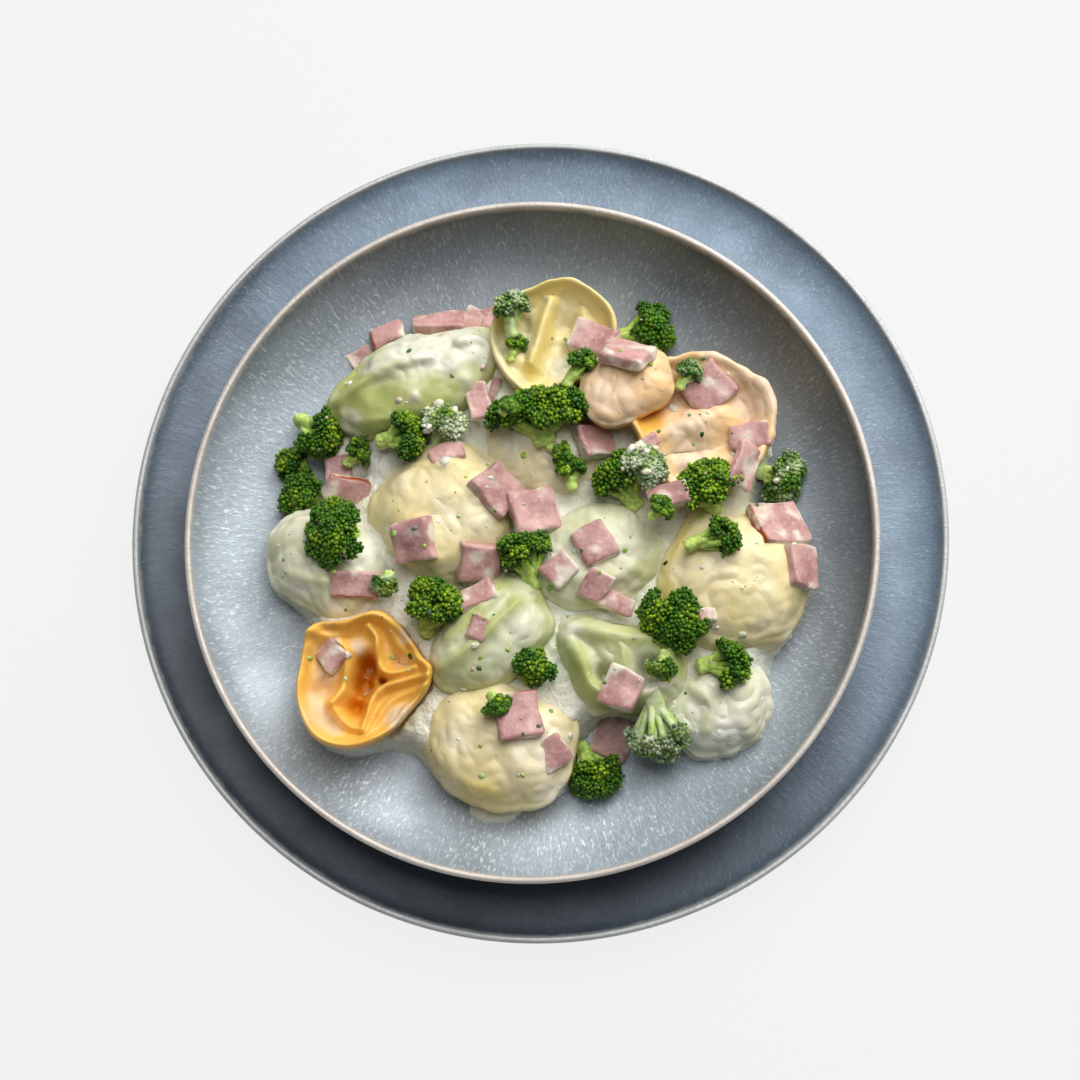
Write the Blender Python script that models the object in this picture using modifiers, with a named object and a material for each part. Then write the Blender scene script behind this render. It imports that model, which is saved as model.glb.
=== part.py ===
"""A plated meal: folded pasta rings in cream sauce with broccoli and ham dice, on a plate and its underplate.

The frame's origin is the centre of the underplate's foot, with +Z up.
"""

import math

import bmesh
import bpy
import numpy as np
from mathutils import Matrix, Vector
from mathutils.bvhtree import BVHTree

MM = 0.001
GAP = 0.35 * MM
CLEAR_STEP = 0.25 * MM

# Plates, as radii and heights above each plate's own foot.
LATHE_STEPS = 36
UNDERPLATE_RADIUS = 134 * MM
UNDERPLATE_FLOOR = 8 * MM
PLATE_RADIUS = 111 * MM
PLATE_FLOOR = 8 * MM
PLATE_OFFSET = Vector((-1.5 * MM, -5.0 * MM, UNDERPLATE_FLOOR + GAP))

# Sauce pool under the pasta.
SAUCE_RADIUS = 76 * MM
SAUCE_EDGE_HEIGHT = 2.0 * MM
SAUCE_RISE = 3.4 * MM
SAUCE_SIDES = 28

CRATER_SIDES = 18
DOME_SIDES = 16
FLORET_SIDES = 8
FLORET_FLATNESS = 0.80
WIDE_CROWN = 12
WIDE_FLATNESS = 0.50
SURFACE_SAMPLES = 5

# How pieces are laid down: the drop's step, the share of the slope they follow, and the way they may shift aside.
DROP_STEP = 2 * MM
SLOPE_SHARE = 0.55
SIDE_STEP = 2.0 * MM
SIDE_COST = 0.8

# Ring profiles run from the middle of the top, over the edge, to the middle of the underside.
# Each pair is a share of the outline's radius and a share of the height.
CRATER_PROFILE = (
    (0.14, 0.34),
    (0.30, 0.52),
    (0.42, 0.84),
    (0.52, 0.88),
    (0.66, 0.66),
    (0.83, 0.80),
    (0.92, 0.98),
    (0.99, 0.94),
    (0.98, 0.52),
    (0.90, 0.20),
    (0.62, 0.00),
)
DOME_PROFILE = (
    (0.30, 1.00),
    (0.58, 0.92),
    (0.80, 0.72),
    (0.92, 0.46),
    (1.00, 0.32),
    (0.97, 0.18),
    (0.64, 0.00),
)

# name, dough, form, x and y from the plate's middle, half length, half width, height, turn, joint, lean
# Lengths are in millimetres. Angles are in degrees. The lean tips the ring towards its joint.
PASTA = (
    ("pasta_spinach_left", "spinach", "dome", -64, -10, 21, 17, 15, 150, 200, 0),
    ("pasta_spinach_back", "spinach", "fold", -38, 50, 27, 18, 18, 32, 180, 0),
    ("pasta_egg_back", "egg", "crater", 8, 61, 19.5, 17.5, 17, 20, 250, -6),
    ("pasta_tomato_right", "tomato", "crater", 56, 35, 22.5, 21.5, 17, 300, 130, 4),
    ("pasta_egg_right", "egg", "dome", 64, -17, 24, 23, 18, 75, 110, 0),
    ("pasta_spinach_corner", "spinach", "dome", 58, -54, 17, 14, 13, 30, 60, 0),
    ("pasta_egg_front", "egg", "dome", -10, -68, 23, 19.5, 15, 165, 20, 0),
    ("pasta_tomato_front", "tomato", "crater", -51, -46, 21.5, 20.5, 18, 0, 5, 0),
    ("pasta_spinach_front", "spinach", "crater", 30, -44, 21, 16, 16, 165, 300, 0),
    ("pasta_spinach_middle", "spinach", "fold", -15, -36, 19.5, 12.5, 14, 44, 0, 0),
    ("pasta_egg_middle", "egg", "dome", -30, 3, 22, 21, 17, 40, 90, 0),
    ("pasta_spinach_centre", "spinach", "dome", 21, -8, 19.5, 16, 14, 10, 250, 0),
    ("pasta_egg_centre", "egg", "dome", 5, 26, 18.5, 14, 12, 160, 0, 0),
    ("pasta_tomato_back", "tomato", "dome", 31, 45, 12, 9, 8, 30, 200, 0),
)

# name, x, y, length, crown radius, heading of the crown, pitch of the axis above the surface
# Each floret is flattened across its axis by FLORET_FLATNESS, and a wide one more.
BROCCOLI = (
    ("broccoli_centre_back", 5, 38, 18, 14.5, 92, 40),
    ("broccoli_back_right", 38, 69, 21, 9, 5, 30),
    ("broccoli_sauced_left", -28, 34, 15, 6.5, 85, 25),
    ("broccoli_fan_left", -40, 30, 16, 8, 15, 12),
    ("broccoli_left_upper", -67, 34, 19, 8, -35, 18),
    ("broccoli_left_small", -76, 25, 14, 6, 140, 12),
    ("broccoli_left_outer", -74, 14, 18, 8.5, 180, 45),
    ("broccoli_left_lower", -61, -2, 17, 10.5, 195, 55),
    ("broccoli_middle", -1, -9, 20, 8, 100, 30),
    ("broccoli_centre_right", 26, 13, 20, 9, 125, 30),
    ("broccoli_right_upper", 57, 12, 19, 9.5, 105, 28),
    ("broccoli_sauced_centre", 40, 21, 13, 7.5, 60, 50),
    ("broccoli_right_lying", 59, -5, 18, 6, 15, 6),
    ("broccoli_right_edge", 79, 18, 16, 8, -30, 30),
    ("broccoli_right_front", 45, -30, 14, 10.5, 270, 78),
    ("broccoli_left_front", -28, -27, 19, 10, 60, 40),
    ("broccoli_front_small", 4, -41, 12, 6.5, 250, 60),
    ("broccoli_front_edge", 19, -76, 18, 8.5, -70, 20),
    ("broccoli_sauced_front", 40, -64, 24, 9.5, -80, 12),
    ("broccoli_corner", 63, -42, 17, 7, 0, 12),
)

# name, x, y, length, width, height, turn
HAM = (
    ("ham_back_rind", -47, 67, 10, 9, 6.5, 20),
    ("ham_back_left", -31, 69, 17, 8, 6.5, 4),
    ("ham_back_pale", 21, 62, 14, 10, 7, -25),
    ("ham_back_right", 30, 53, 14, 13, 6.0, -30),
    ("ham_diamond", 57, 45, 14, 13, 7.5, 42),
    ("ham_right_upper", 70, 29, 13, 8, 5.5, 2),
    ("ham_right_wrap", 67, 20, 10, 14, 5.0, -20),
    ("ham_centre_back", 20, 26, 12, 10, 7, 20),
    ("ham_centre_left", -10, 12, 13, 14, 7.5, 45),
    ("ham_centre_large", 2, 5, 15, 14, 7.5, 18),
    ("ham_middle_square", -36, -5, 13, 13, 7.5, 8),
    ("ham_middle_front", -14, -11, 13, 12, 7.5, -3),
    ("ham_left_upper", -63, 25, 8, 11, 7, 10),
    ("ham_left_rind", -59, 14, 14, 9, 7, -15),
    ("ham_left_lower", -55, -18, 15, 8, 7, -3),
    ("ham_centre_front", 21, -6, 11, 12, 7, 30),
    ("ham_front_cup", 31, -52, 11, 12, 7.5, -20),
    ("ham_front_rind", -3, -60, 13, 14, 7.5, 12),
    ("ham_front_edge", 24, -65, 12, 12, 7, -20),
    ("ham_right_red", 76, -2, 18, 15, 7, 15),
    ("ham_right_end", 82, -13, 11, 13, 6.5, 5),
)

DOUGH_COLOURS = {
    "egg": (0.80, 0.66, 0.30),
    "spinach": (0.45, 0.52, 0.20),
    "tomato": (0.85, 0.40, 0.08),
}


def clear_scene():
    for obj in list(bpy.data.objects):
        bpy.data.objects.remove(obj, do_unlink=True)


def material(name, colour, roughness):
    made = bpy.data.materials.get(name) or bpy.data.materials.new(name)
    made.use_nodes = True
    shader = made.node_tree.nodes["Principled BSDF"]
    shader.inputs["Base Color"].default_value = (*colour, 1)
    shader.inputs["Roughness"].default_value = roughness
    shader.inputs["Metallic"].default_value = 0
    return made


def new_object(name, mesh, finish, collection):
    obj = bpy.data.objects.new(name, mesh)
    mesh.materials.append(finish)
    mesh.shade_smooth()
    collection.objects.link(obj)
    return obj


def ring_loft(name, rings, top, bottom):
    """A closed mesh through rings of equal count, listed from the top down, with a point at each end."""
    sides = len(rings[0])
    points = [top] + [point for ring in rings for point in ring] + [bottom]
    last = len(points) - 1
    faces = []
    for side in range(sides):
        after = (side + 1) % sides
        faces.append((0, 1 + side, 1 + after))
        for level in range(len(rings) - 1):
            upper = 1 + level * sides
            lower = upper + sides
            faces.append((upper + side, lower + side, lower + after))
            faces.append((upper + side, lower + after, upper + after))
        foot = 1 + (len(rings) - 1) * sides
        faces.append((last, foot + after, foot + side))
    mesh = bpy.data.meshes.new(name)
    mesh.from_pydata([tuple(point) for point in points], [], faces)
    mesh.update()
    return mesh


def turned_plate(name, profile, place, finish, collection):
    """A turned plate: its profile runs from the axis over the rim and back under the foot to the axis."""
    mesh = bpy.data.meshes.new(name)
    points = [(radius * MM, 0, height * MM) for radius, height in profile]
    mesh.from_pydata(points, [(i, i + 1) for i in range(len(points) - 1)], [])
    obj = new_object(name, mesh, finish, collection)
    obj.location = place
    screw = obj.modifiers.new("lathe", "SCREW")
    screw.steps = LATHE_STEPS
    screw.render_steps = LATHE_STEPS
    screw.use_merge_vertices = True
    screw.merge_threshold = 0.0001
    return obj


def plate_profile(radius, floor, rim, wall, foot):
    """Radii and heights in millimetres of a coupe plate whose flat floor turns up into a short wall."""
    thick = 4.4
    start = radius - wall
    top = [
        (0, floor),
        (start, floor + 0.6),
        (radius - 0.52 * wall, floor + 0.20 * (rim - floor)),
        (radius - 0.22 * wall, floor + 0.50 * (rim - floor)),
        (radius - 2.6, rim - 1.6),
        (radius - 1.2, rim),
        (radius, rim - 1.3),
    ]
    under = [
        (radius - 0.16 * wall, floor + 0.30 * (rim - floor)),
        (radius - 0.48 * wall, floor + 0.16 * (rim - floor) - 0.7 * thick),
        (start, floor - thick + 0.8),
        (foot + 6, 3.2),
        (foot + 5, 0),
        (foot, 0),
        (foot - 1, 3.4),
        (0, 3.6),
    ]
    return top + under


def build_plates(collection):
    glaze = material("underplate_glaze", (0.16, 0.22, 0.29), 0.35)
    profile = plate_profile(UNDERPLATE_RADIUS / MM, UNDERPLATE_FLOOR / MM, 15.5, 26, 66)
    under = turned_plate("underplate", profile, (0, 0, 0), glaze, collection)
    glaze = material("plate_glaze", (0.24, 0.28, 0.33), 0.35)
    profile = plate_profile(PLATE_RADIUS / MM, PLATE_FLOOR / MM, 24.5, 20, 50)
    plate = turned_plate("plate", profile, PLATE_OFFSET, glaze, collection)
    return [under, plate]


def build_sauce(collection):
    """The pool that the pasta sits in: a low lumpy mound with a wandering edge."""
    centre = PLATE_OFFSET + Vector((0, 0, PLATE_FLOOR + 0.6 * MM + GAP))
    shares = (0.25, 0.5, 0.74, 0.9, 0.98)
    rings = []
    for share in shares + (1.0, 0.96):
        ring = []
        for side in range(SAUCE_SIDES):
            turn = math.tau * side / SAUCE_SIDES
            edge = 1 + 0.05 * math.sin(3 * turn + 0.6) + 0.035 * math.sin(7 * turn + 2.0)
            swell = 1 + 0.22 * math.sin(4 * turn + 5 * share)
            height = SAUCE_EDGE_HEIGHT + SAUCE_RISE * (1 - share**2) * swell
            if share == 1.0:
                height = 0.45 * SAUCE_EDGE_HEIGHT
            radius = SAUCE_RADIUS * share * edge
            ring.append(centre + Vector((radius * math.cos(turn), radius * math.sin(turn), height)))
        rings.append(ring)
    for point in rings[-1]:
        point.z = centre.z
    top = centre + Vector((0, 0, SAUCE_EDGE_HEIGHT + SAUCE_RISE))
    mesh = ring_loft("sauce", rings, top, centre)
    return new_object("sauce", mesh, material("cream_sauce", (0.72, 0.66, 0.50), 0.3), collection)


def outline(turn, half_length, half_width, joint):
    """The plan radius of a pasta ring at this angle: a soft squarish oval, drawn to a point at its joint."""
    power = 2.35
    across = abs(math.cos(turn) / half_length) ** power + abs(math.sin(turn) / half_width) ** power
    away = math.remainder(turn - joint, math.tau)
    point = 0.10 * math.exp(-((away / 0.30) ** 2)) - 0.05 * math.exp(-((away / 0.75) ** 2))
    waves = 0.025 * math.sin(3 * turn + joint) + 0.018 * math.sin(5 * turn + 2 * joint)
    return across ** (-1 / power) * (1 + point + waves)


def crater_ring(share, level, sides, size, joint):
    """One ring of a pasta ring seen into: a filled outer belly with a raised lip round a folded hollow."""
    half_length, half_width, height = size
    ring = []
    for side in range(sides):
        turn = math.tau * side / sides
        radius = share * outline(turn, half_length, half_width, joint)
        away = math.remainder(turn - joint, math.tau)
        inner = max(0.0, 1 - share)
        radius *= 1 + 0.28 * inner * math.sin(3 * turn - joint)
        z = height * level * (1 + 0.05 * math.sin(2 * turn + joint))
        if level > 0.3 and share < 0.9:
            z += 0.10 * height * math.exp(-((away / 0.5) ** 2))
        ring.append(Vector((radius * math.cos(turn), radius * math.sin(turn), z)))
    return ring


def dome_ring(share, level, sides, size, joint):
    """One ring of a pasta ring that lies belly up, whose flat sealed edge shows on the side of the joint."""
    half_length, half_width, height = size
    ring = []
    for side in range(sides):
        turn = math.tau * side / sides
        radius = share * outline(turn, half_length, half_width, joint)
        seal = 0.5 + 0.5 * math.cos(turn - joint)
        if 0.9 < share < 1:
            radius *= 1 - 0.05 * seal
        z = height * level * (1 + 0.06 * math.sin(2 * turn + joint) * (level > 0.4))
        if share > 0.9:
            z += 0.16 * height * seal * level / 0.46
        ring.append(Vector((radius * math.cos(turn), radius * math.sin(turn), z)))
    return ring


def fold_ring(share, level, sides, size, joint):
    """One ring of a pasta ring that lies on its side, with folds running along it."""
    half_width = size[1]
    ring = dome_ring(share, level, sides, size, joint)
    if level > 0.4:
        for point in ring:
            along = point.y / half_width
            point.z *= 1 + 0.10 * math.cos(7.0 * along + 0.8) - 0.10 * max(0.0, along)
    return ring


def build_pasta(name, dough, form, half_length, half_width, height, joint, collection):
    size = (half_length * MM, half_width * MM, height * MM)
    ring_of = {"crater": crater_ring, "dome": dome_ring, "fold": fold_ring}[form]
    profile = CRATER_PROFILE if form == "crater" else DOME_PROFILE
    sides = CRATER_SIDES if form == "crater" else DOME_SIDES
    rings = [ring_of(share, level, sides, size, joint) for share, level in profile]
    middle = 0.30 if form == "crater" else 1.02
    mesh = ring_loft(name, rings, Vector((0, 0, middle * size[2])), Vector((0, 0, 0)))
    return new_object(name, mesh, material("dough_" + dough, DOUGH_COLOURS[dough], 0.4), collection)


def build_floret(name, length, crown, collection):
    """A broccoli floret along +Z: a short stem that spreads into a lumpy crown."""
    profile = (
        (0.00, 0.26),
        (0.34, 0.30),
        (0.52, 0.72),
        (0.68, 1.00),
        (0.86, 0.86),
        (0.97, 0.45),
    )
    flatness = WIDE_FLATNESS if crown > WIDE_CROWN else FLORET_FLATNESS
    rings = []
    for along, spread in reversed(profile):
        ring = []
        for side in range(FLORET_SIDES):
            turn = math.tau * (side + 0.5 * along) / FLORET_SIDES
            lump = 1 + 0.10 * spread * math.sin(3 * turn + 9 * along + crown)
            radius = crown * spread * lump * MM
            across = flatness * radius * math.cos(turn)
            ring.append(Vector((across, radius * math.sin(turn), along * length * MM)))
        rings.append(ring)
    mesh = ring_loft(name, rings, Vector((0, 0, length * MM)), Vector((0, 0, -0.03 * length * MM)))
    return new_object(name, mesh, material("broccoli", (0.09, 0.26, 0.03), 0.45), collection)


def build_dice(name, length, width, height, turn, collection):
    """A hand-cut dice of ham: a bevelled box, a little skewed."""
    mesh = bpy.data.meshes.new(name)
    cut = bmesh.new()
    bmesh.ops.create_cube(cut, size=1)
    for corner in cut.verts:
        skew = 1 + 0.07 * math.sin(3 * corner.co.x + 5 * corner.co.y + 2 * corner.co.z + turn)
        corner.co.x *= length * MM * skew
        corner.co.y *= width * MM * (2 - skew)
        corner.co.z *= height * MM
    edges = list(cut.edges)
    bmesh.ops.bevel(cut, geom=edges, offset=0.9 * MM, segments=1, affect="EDGES")
    bmesh.ops.triangulate(cut, faces=cut.faces)
    cut.to_mesh(mesh)
    cut.free()
    return new_object(name, mesh, material("ham", (0.62, 0.32, 0.30), 0.45), collection)


def surface_of(obj):
    """The points and faces of an object as built, in the part's frame."""
    solid = obj.evaluated_get(bpy.context.evaluated_depsgraph_get())
    mesh = solid.to_mesh()
    points = [obj.matrix_world @ vertex.co for vertex in mesh.vertices]
    faces = [tuple(face.vertices) for face in mesh.polygons]
    solid.to_mesh_clear()
    return points, faces


class Heap:
    """All that has been laid down so far, as one tree that new pieces are lowered onto."""

    def __init__(self):
        self.points = []
        self.faces = []

    def add(self, points, faces):
        start = len(self.points)
        self.points.extend(points)
        self.faces.extend(tuple(start + corner for corner in face) for face in faces)
        self.tree = BVHTree.FromPolygons(self.points, self.faces)

    def height(self, x, y):
        """The height of the topmost surface at this place."""
        hit = self.tree.ray_cast(Vector((x, y, 0.3)), Vector((0, 0, -1)))[0]
        return hit.z if hit else 0.0

    def samples(self, x, y, reach):
        spread = [reach * (2 * i / (SURFACE_SAMPLES - 1) - 1) for i in range(SURFACE_SAMPLES)]
        return [(dx, dy, self.height(x + dx, y + dy)) for dx in spread for dy in spread]

    def slope(self, x, y, reach):
        """The rotation that lays a piece of this reach on the surface below it, part of the way."""
        found = np.array(self.samples(x, y, reach))
        rows = np.c_[found[:, :2], np.ones(len(found))]
        a, b, _ = np.linalg.lstsq(rows, found[:, 2], rcond=None)[0]
        normal = Vector((-SLOPE_SHARE * a, -SLOPE_SHARE * b, 1)).normalized()
        return Vector((0, 0, 1)).rotation_difference(normal).to_matrix().to_4x4()

    def lowest_lift(self, points, faces):
        """How far up these points go to lie just clear of the heap, coming from above."""
        middle = sum(points, Vector()) / len(points)
        reach = max((point.xy - middle.xy).length for point in points)
        lift = max(z for _, _, z in self.samples(middle.x, middle.y, reach))
        lift -= min(point.z for point in points)

        def touches(height):
            offset = Vector((0, 0, height))
            piece = BVHTree.FromPolygons([point + offset for point in points], faces)
            return bool(piece.overlap(self.tree))

        while touches(lift):
            lift += DROP_STEP
        while not touches(lift - DROP_STEP):
            lift -= DROP_STEP
        while not touches(lift - CLEAR_STEP):
            lift -= CLEAR_STEP
        return lift + GAP


def settle(obj, x, y, turned, reach, heap):
    """Lowers a piece at x, y from the plate's middle, or a few millimetres beside it where it comes lower."""
    faces = [tuple(face.vertices) for face in obj.data.polygons]
    best = None
    for ring, count in ((0, 1), (SIDE_STEP, 6), (2 * SIDE_STEP, 8)):
        for step in range(count):
            angle = math.tau * step / count
            spot = Vector((x * MM + ring * math.cos(angle), y * MM + ring * math.sin(angle), 0))
            spot += Vector((PLATE_OFFSET.x, PLATE_OFFSET.y, 0))
            matrix = turned
            if reach:
                matrix = heap.slope(spot.x, spot.y, reach * MM) @ turned
            matrix = Matrix.Translation(spot) @ matrix
            points = [matrix @ vertex.co for vertex in obj.data.vertices]
            lift = heap.lowest_lift(points, faces)
            cost = lift + SIDE_COST * ring
            if best is None or cost < best[0]:
                best = (cost, Matrix.Translation((0, 0, lift)) @ matrix)
    obj.matrix_world = best[1]
    bpy.context.view_layer.update()
    heap.add(*surface_of(obj))


def build_food(collection, heap):
    for name, dough, form, x, y, half_length, half_width, height, turn, joint, lean in PASTA:
        local_joint = math.radians(joint - turn)
        obj = build_pasta(name, dough, form, half_length, half_width, height, local_joint, collection)
        turned = Matrix.Rotation(math.radians(turn), 4, "Z") @ Matrix.Rotation(math.radians(lean), 4, "X")
        settle(obj, x, y, turned, 0, heap)
    for name, x, y, length, crown, heading, pitch in BROCCOLI:
        obj = build_floret(name, length, crown, collection)
        turned = Matrix.Rotation(math.radians(heading), 4, "Z")
        turned @= Matrix.Rotation(math.radians(90 - pitch), 4, "Y")
        turned @= Matrix.Translation((0, 0, -0.55 * length * MM))
        settle(obj, x, y, turned, 0.6 * crown, heap)
    for name, x, y, length, width, height, turn in HAM:
        obj = build_dice(name, length, width, height, turn, collection)
        settle(obj, x, y, Matrix.Rotation(math.radians(turn), 4, "Z"), 0.45 * width, heap)


def main():
    clear_scene()
    collection = bpy.data.collections.new("pasta_plate")
    bpy.context.scene.collection.children.link(collection)
    plates = build_plates(collection)
    sauce = build_sauce(collection)
    bpy.context.view_layer.update()
    heap = Heap()
    for obj in plates + [sauce]:
        heap.add(*surface_of(obj))
    build_food(collection, heap)


main()
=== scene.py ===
"""Looks for the plated pasta meal: glazed plates, sauced pasta rings, beaded broccoli and ham dice."""

import itertools
import math

import bmesh
import bpy
import numpy as np
from mathutils import Matrix, Vector
from mathutils.bvhtree import BVHTree


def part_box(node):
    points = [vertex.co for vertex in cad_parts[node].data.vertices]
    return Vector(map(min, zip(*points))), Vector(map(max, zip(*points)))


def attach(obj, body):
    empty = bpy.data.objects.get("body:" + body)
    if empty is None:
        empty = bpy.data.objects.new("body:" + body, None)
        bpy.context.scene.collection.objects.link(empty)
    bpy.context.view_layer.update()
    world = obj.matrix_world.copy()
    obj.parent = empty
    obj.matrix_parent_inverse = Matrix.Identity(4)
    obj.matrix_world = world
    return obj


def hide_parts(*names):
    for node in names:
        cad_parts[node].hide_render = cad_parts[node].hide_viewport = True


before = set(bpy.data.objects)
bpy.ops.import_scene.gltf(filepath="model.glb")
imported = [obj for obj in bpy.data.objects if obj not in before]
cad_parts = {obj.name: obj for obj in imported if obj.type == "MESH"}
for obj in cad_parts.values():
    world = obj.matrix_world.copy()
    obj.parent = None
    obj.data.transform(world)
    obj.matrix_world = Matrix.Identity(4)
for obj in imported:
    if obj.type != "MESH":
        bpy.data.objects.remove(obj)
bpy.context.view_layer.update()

MM = 0.001
TAU = math.tau
UP = Vector((0, 0, 1))
DOWN = Vector((0, 0, -1))

# A little above the inner plate's floor, and the plate's middle.
PLATE_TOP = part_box("plate")[0].z + 0.0085
PLATE_MIDDLE = (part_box("plate")[0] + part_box("plate")[1]) / 2

# A height above everything, from which rays look down.
RAY_HEIGHT = 0.3

# Camera and lights.
VIEW_TILT = math.radians(12)
VIEW_TURN = math.radians(12)
VIEW_DISTANCE = 0.620
VIEW_WIDTH = 0.3494
VIEW_TARGET = Vector((1.3 * MM, -6.1 * MM, 22 * MM))
SENSOR_WIDTH = 36

# Each light: place, target, width and height in metres, power in watts and colour.
LIGHTS = {
    "window": ((0.50, 0.78, 0.64), (0, 0, 0.02), (0.90, 0.80), 12.5, (1.0, 0.99, 0.97)),
    "ceiling": ((0.12, 0.36, 1.0), (0, 0, 0), (0.75, 0.75), 7.0, (0.98, 0.99, 1.0)),
}
WORLD_COLOUR = (0.92, 0.96, 1.0, 1)
WORLD_STRENGTH = 0.13
FLOOR_REACH = 3.0
FLOOR_GLOW = 0.93

# Plates.
LATHE_SIDES = 240
PLATE_THICKNESS = 4.4

# Pasta: rings down and points round each piece.
PASTA_RINGS = 100
PASTA_SIDES = 168

# Sauce between the pieces.
SAUCE_CELL = 0.8 * MM
SAUCE_REACH = 96 * MM
SAUCE_CLOSING = 14.0 * MM
SAUCE_SINK = 0.9 * MM
SAUCE_BANK = 11

# The pasta with a hollow on top that the sauce leaves open.
HOLLOW_PASTA = ("pasta_tomato_front", "pasta_egg_back", "pasta_spinach_front", "pasta_tomato_right")

# The radius of one broccoli bud, and the turn from one bud or branch to the next.
BUD = 0.68 * MM
GOLDEN_TURN = 2.39996

# How far each kind of topping sits down in the sauce.
HAM_SINK = 2.2 * MM
BROCCOLI_SINK = 2.0 * MM
SPRIG_SINK = 1.0 * MM

# Ham: its thickness as a share of the solid's, and the radius of its edges.
HAM_THINNED = 0.66
HAM_EDGE = 1.0 * MM

# The first seed of each kind of piece.
PASTA_SEED = 100
FLORET_SEED = 900
HAM_SEED = 1500
EXTRA_HAM_SEED = 2500
EXTRA_FLORET_SEED = 3300
LUMP_SEED = 51

# How thickly the sauce coats each piece's own top, in mm. A negative one leaves the piece bare.
COATS = {
    "pasta_tomato_front": -16.0,
    "pasta_egg_back": -1.3,
    "pasta_spinach_front": -1.2,
    "pasta_tomato_right": -0.6,
    "pasta_spinach_back": -0.9,
    "pasta_spinach_middle": -0.35,
    "pasta_egg_right": 0.1,
    "pasta_egg_middle": 0.1,
    "pasta_egg_front": 0.2,
    "pasta_tomato_back": 0.0,
    "pasta_egg_centre": 0.8,
    "pasta_spinach_corner": 0.2,
    "pasta_spinach_left": 0.3,
    "pasta_spinach_centre": 0.4,
}

# Thick places in the coat, from the plate's middle: x, y, reach and thickness in mm.
DOLLOPS = (
    (-46, 60, 8, 2.2), (-36, 64, 8, 2.6), (-25, 65, 8, 2.8), (-15, 60, 8, 2.4), (-28, 58, 5, 1.2),
    (-55, 54, 6, 1.6), (-60, 43, 5, 1.2), (-36, 46, 2.4, 1.5), (-30, 42, 1.8, 1.2), (-50, 36, 6, 1.2),
    (0, 48, 8, 1.4), (12, 44, 8, 1.4), (30, 40, 9, 1.6), (42, 30, 8, 1.0), (50, 22, 7, 0.8),
    (62, 26, 6, 0.8), (-28, 22, 7, 1.0), (-20, -4, 6, 0.8), (60, -6, 9, 1.0), (72, -20, 7, 0.8),
    (-10, -62, 9, 1.0), (0, -72, 8, 1.0), (-20, -76, 6, 0.8), (30, -30, 5, 1.0), (46, -52, 6, 1.2),
    (64, -48, 6, 1.0), (-66, -8, 7, 0.8), (-58, 2, 6, 0.8), (20, -2, 7, 0.8), (-12, -26, 4, 0.9),
)

# Mounds and drips of sauce on the plate: x, y, half sizes and height in mm.
DRIPS = ((-13, -92, 8.5, 5.0, 3.6), (-4, -88, 9, 5, 3.2), (60, -66, 9, 6, 2.0), (-56, 24, 15, 12, 11.0))

# Smaller pieces that have no solid of their own, placed from the plate's middle in mm.
# Ham: x, y, length, width, thickness, turn. Broccoli: x, y, length, crown radius, heading, pitch, sauce.
HAM_EXTRAS = (
    (-57, 62, 9, 8, 5, 30), (-20, 75, 8, 8, 6, 60), (-13, 76, 7, 9, 5, 100), (-16, 40, 7, 13, 5, 10),
    (-12, 47, 5, 10, 5, -20), (-26, 22, 12, 6, 5, 20), (45, 7.5, 13, 8, 6, 15), (10.5, -14, 10, 9, 6, 40),
    (21, -18, 10, 8, 6, 60), (27.6, -25, 13, 6, 5, -25), (-60, -40, 9, 9, 5, 40), (-15, -24, 13, 7, 5, 20),
    (-16, -32, 8, 6, 5, 70), (6.5, -70.5, 11, 10, 4, 35), (56, -31, 6, 5, 4, 10), (37, 27, 6, 5, 4, 30),
)
BROCCOLI_EXTRAS = (
    (-60, 23, 10, 4, 40, 20, 0.0), (-5, 62, 15, 5.5, 95, 15, 0.55), (-6, 55, 9, 3, 70, 10, 0.2),
    (12, 44, 14, 4.2, 55, 12, 0.1), (14, 12, 11, 4, 95, 10, 0.3), (-12, -53, 8, 4, 300, 15, 0.2),
    (-44, -14, 8, 4, 250, 15, 0.5), (-8, 34, 6, 3.2, 40, 30, 0.0), (6, 26, 7, 3, -30, 10, 0.1),
    (42, -40, 9, 4.5, 260, 10, 0.4), (48, 44, 10, 4, 60, 10, 0.5), (38, 1, 8, 3.6, 40, 20, 0.1),
)

# Pieces with sauce left on them: how many lumps, and their size in mm.
SAUCED = (
    ("broccoli_sauced_left", 8, 2.2), ("broccoli_sauced_centre", 8, 2.2), ("broccoli_sauced_front", 12, 2.4),
    ("broccoli_right_edge", 7, 2.0), ("ham_back_left", 5, 1.4), ("ham_back_pale", 6, 1.7),
    ("ham_centre_large", 6, 1.5), ("ham_centre_left", 5, 1.5), ("ham_centre_front", 5, 1.5),
    ("ham_front_cup", 5, 1.5), ("ham_right_end", 5, 1.6),
)

# Pasta sections, from the middle out and under: share of the outline's radius, share of the height.
CUP_PROFILE = (
    (0.25, 0.60), (0.50, 0.62), (0.70, 0.62), (0.84, 0.70), (0.92, 0.86), (0.97, 0.90),
    (1.00, 0.78), (0.98, 0.52), (0.90, 0.20), (0.62, 0.00),
)
DOME_PROFILE = (
    (0.30, 1.00), (0.58, 0.92), (0.80, 0.72), (0.92, 0.46), (1.00, 0.36), (0.98, 0.20), (0.64, 0.00),
)

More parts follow.
